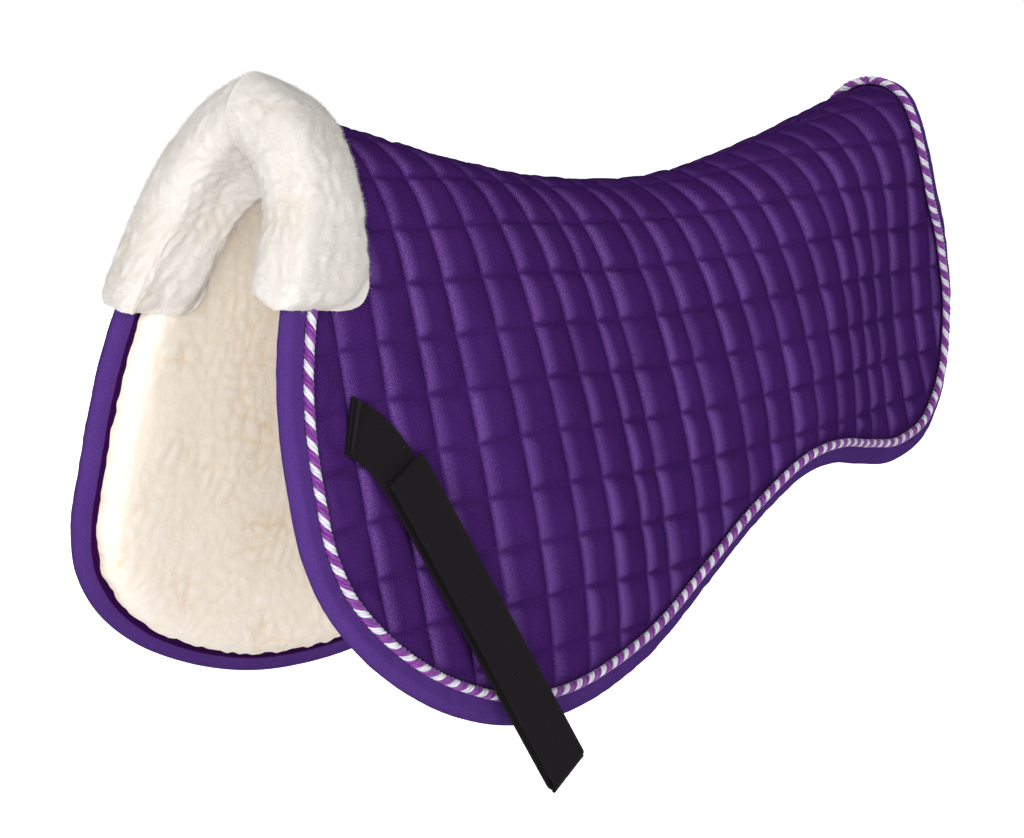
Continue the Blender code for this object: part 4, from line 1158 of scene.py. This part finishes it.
# stitched edge in the fold, which closes it when the tail is open
fold = {"centre": (-0.17067, -0.10834, -0.23714), "along": (0.89226, 0.06085, 0.44739),
        "radius": 0.0009, "inset": 0.0004, "count": 12}
foldAlong = np.array(fold["along"]) / np.linalg.norm(fold["along"])
foldSide = np.cross(foldAlong, (0.0, 0.0, 1.0))
foldSide /= np.linalg.norm(foldSide)
foldUp = np.cross(foldAlong, foldSide)
turn = np.linspace(0.0, 2 * math.pi, fold["count"], endpoint=False)[:, None]
circle = fold["radius"] * (np.cos(turn) * foldSide + np.sin(turn) * foldUp)
ends = [np.array(fold["centre"]) + k * (0.5 * strap["width"] - fold["inset"]) * foldAlong for k in (-1, 1)]
verts = np.concatenate([ends[0] + circle, ends[1] + circle, ends])
first = np.arange(fold["count"])
after = np.roll(first, -1)
second = first + fold["count"]
nearEnd, farEnd = np.full_like(first, len(verts) - 2), np.full_like(first, len(verts) - 1)
around = facesOutward(verts, np.stack([first, after, after + fold["count"], second], -1),
                      verts - verts.mean(axis=0))
faces = np.concatenate([around, np.stack([after, first, nearEnd, nearEnd], -1),
                        np.stack([second, after + fold["count"], farEnd, farEnd], -1)])
foldPiece = meshFrom("strapFoldEdge", verts, faces, verts[:, :2])
foldPiece.data.materials.append(finishes["webbing"])
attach(foldPiece, "strap")
print("strap sewn on")

# camera
cameraPlace = {"azimuth": -51.53, "elevation": 8.566, "lens": 98.27,
               "position": (-1.1493, -0.8535, 0.1105)}
azimuth, elevation = math.radians(cameraPlace["azimuth"]), math.radians(cameraPlace["elevation"])
backward = Vector((math.sin(azimuth) * math.cos(elevation), -math.cos(azimuth) * math.cos(elevation),
                   math.sin(elevation)))
cameraData = bpy.data.cameras.new("camera")
cameraData.lens = cameraPlace["lens"]
cameraData.sensor_width = 36.0
cameraData.sensor_fit = "HORIZONTAL"
cameraData.clip_end = 50.0
camera = linked("camera", cameraData)
camera.location = cameraPlace["position"]
camera.rotation_euler = backward.to_track_quat("Z", "Y").to_euler()
bpy.context.scene.camera = camera

# floor and light
studio = {"floorDrop": 0.10, "floorSize": 14.0, "key": 39.0, "fill": 22.0, "low": 21.0, "far": 34.0,
          "top": 4.0, "world": 0.25, "floorGlow": 0.85}


def areaLight(name, place, target, size, power):
    data = bpy.data.lights.new(name, "AREA")
    data.shape = "RECTANGLE"
    data.size, data.size_y = size
    data.energy = power
    lamp = linked(name, data)
    lamp.location = place
    lamp.rotation_euler = (Vector(place) - Vector(target)).to_track_quat("Z", "Y").to_euler()


areaLight("keyLight", (-2.7, -0.9, 0.5), (0, 0, -0.05), (1.2, 1.2), studio["key"])
areaLight("fillLight", (-0.9, -2.7, 0.95), (0, 0, -0.05), (1.0, 1.0), studio["fill"])
areaLight("lowLight", (-2.0, -1.6, -0.12), (-0.2, 0, -0.05), (1.2, 0.5), studio["low"])
areaLight("farLight", (1.3, 2.6, 0.7), (0, 0, -0.05), (1.2, 1.2), studio["far"])
areaLight("topLight", (0.0, 0.2, 2.4), (0, 0, 0), (2.2, 2.2), studio["top"])


# 1 for what the camera sees, straight or by way of gloss or glass
def seenDirectly(tree):
    rays = newNode(tree, "ShaderNodeLightPath").outputs
    total = rays["Is Camera Ray"]
    for other in ("Is Glossy Ray", "Is Transmission Ray"):
        total = newNode(tree, "ShaderNodeMath", {0: total, 1: rays[other]}, operation="MAXIMUM").outputs[0]
    return total


world = bpy.data.worlds.new("studio")
world.use_nodes = True
bpy.context.scene.world = world
sky = world.node_tree
background = sky.nodes["Background"]
level = newNode(sky, "ShaderNodeMapRange", {"Value": seenDirectly(sky), "To Min": studio["world"],
                "To Max": 1.0})
sky.links.new(level.outputs["Result"], background.inputs["Strength"])
background.inputs["Color"].default_value = (1.0, 1.0, 1.0, 1.0)

lowest = cadBox[0][2] - studio["floorDrop"]
square = np.array([(0, 0), (1, 0), (1, 1), (0, 1)])
floorCorners = np.column_stack([studio["floorSize"] * (2 * square - 1), np.full(4, lowest)])
floor = meshFrom("floor", floorCorners, np.array([(0, 1, 2, 3)]), square)
floorMaterial = bpy.data.materials.new("paleFloor")
floorMaterial.use_nodes = True
floorTree = floorMaterial.node_tree
shader = floorTree.nodes["Principled BSDF"]
shader.inputs["Base Color"].default_value = (0.82, 0.82, 0.82, 1.0)
shader.inputs["Roughness"].default_value = 0.9
shader.inputs["Emission Color"].default_value = (1.0, 1.0, 1.0, 1.0)
glow = newNode(floorTree, "ShaderNodeMath", {0: seenDirectly(floorTree), 1: studio["floorGlow"]},
               operation="MULTIPLY")
floorTree.links.new(glow.outputs[0], shader.inputs["Emission Strength"])
floor.data.materials.append(floorMaterial)
bpy.context.scene.view_settings.view_transform = "Standard"
print("studio set")
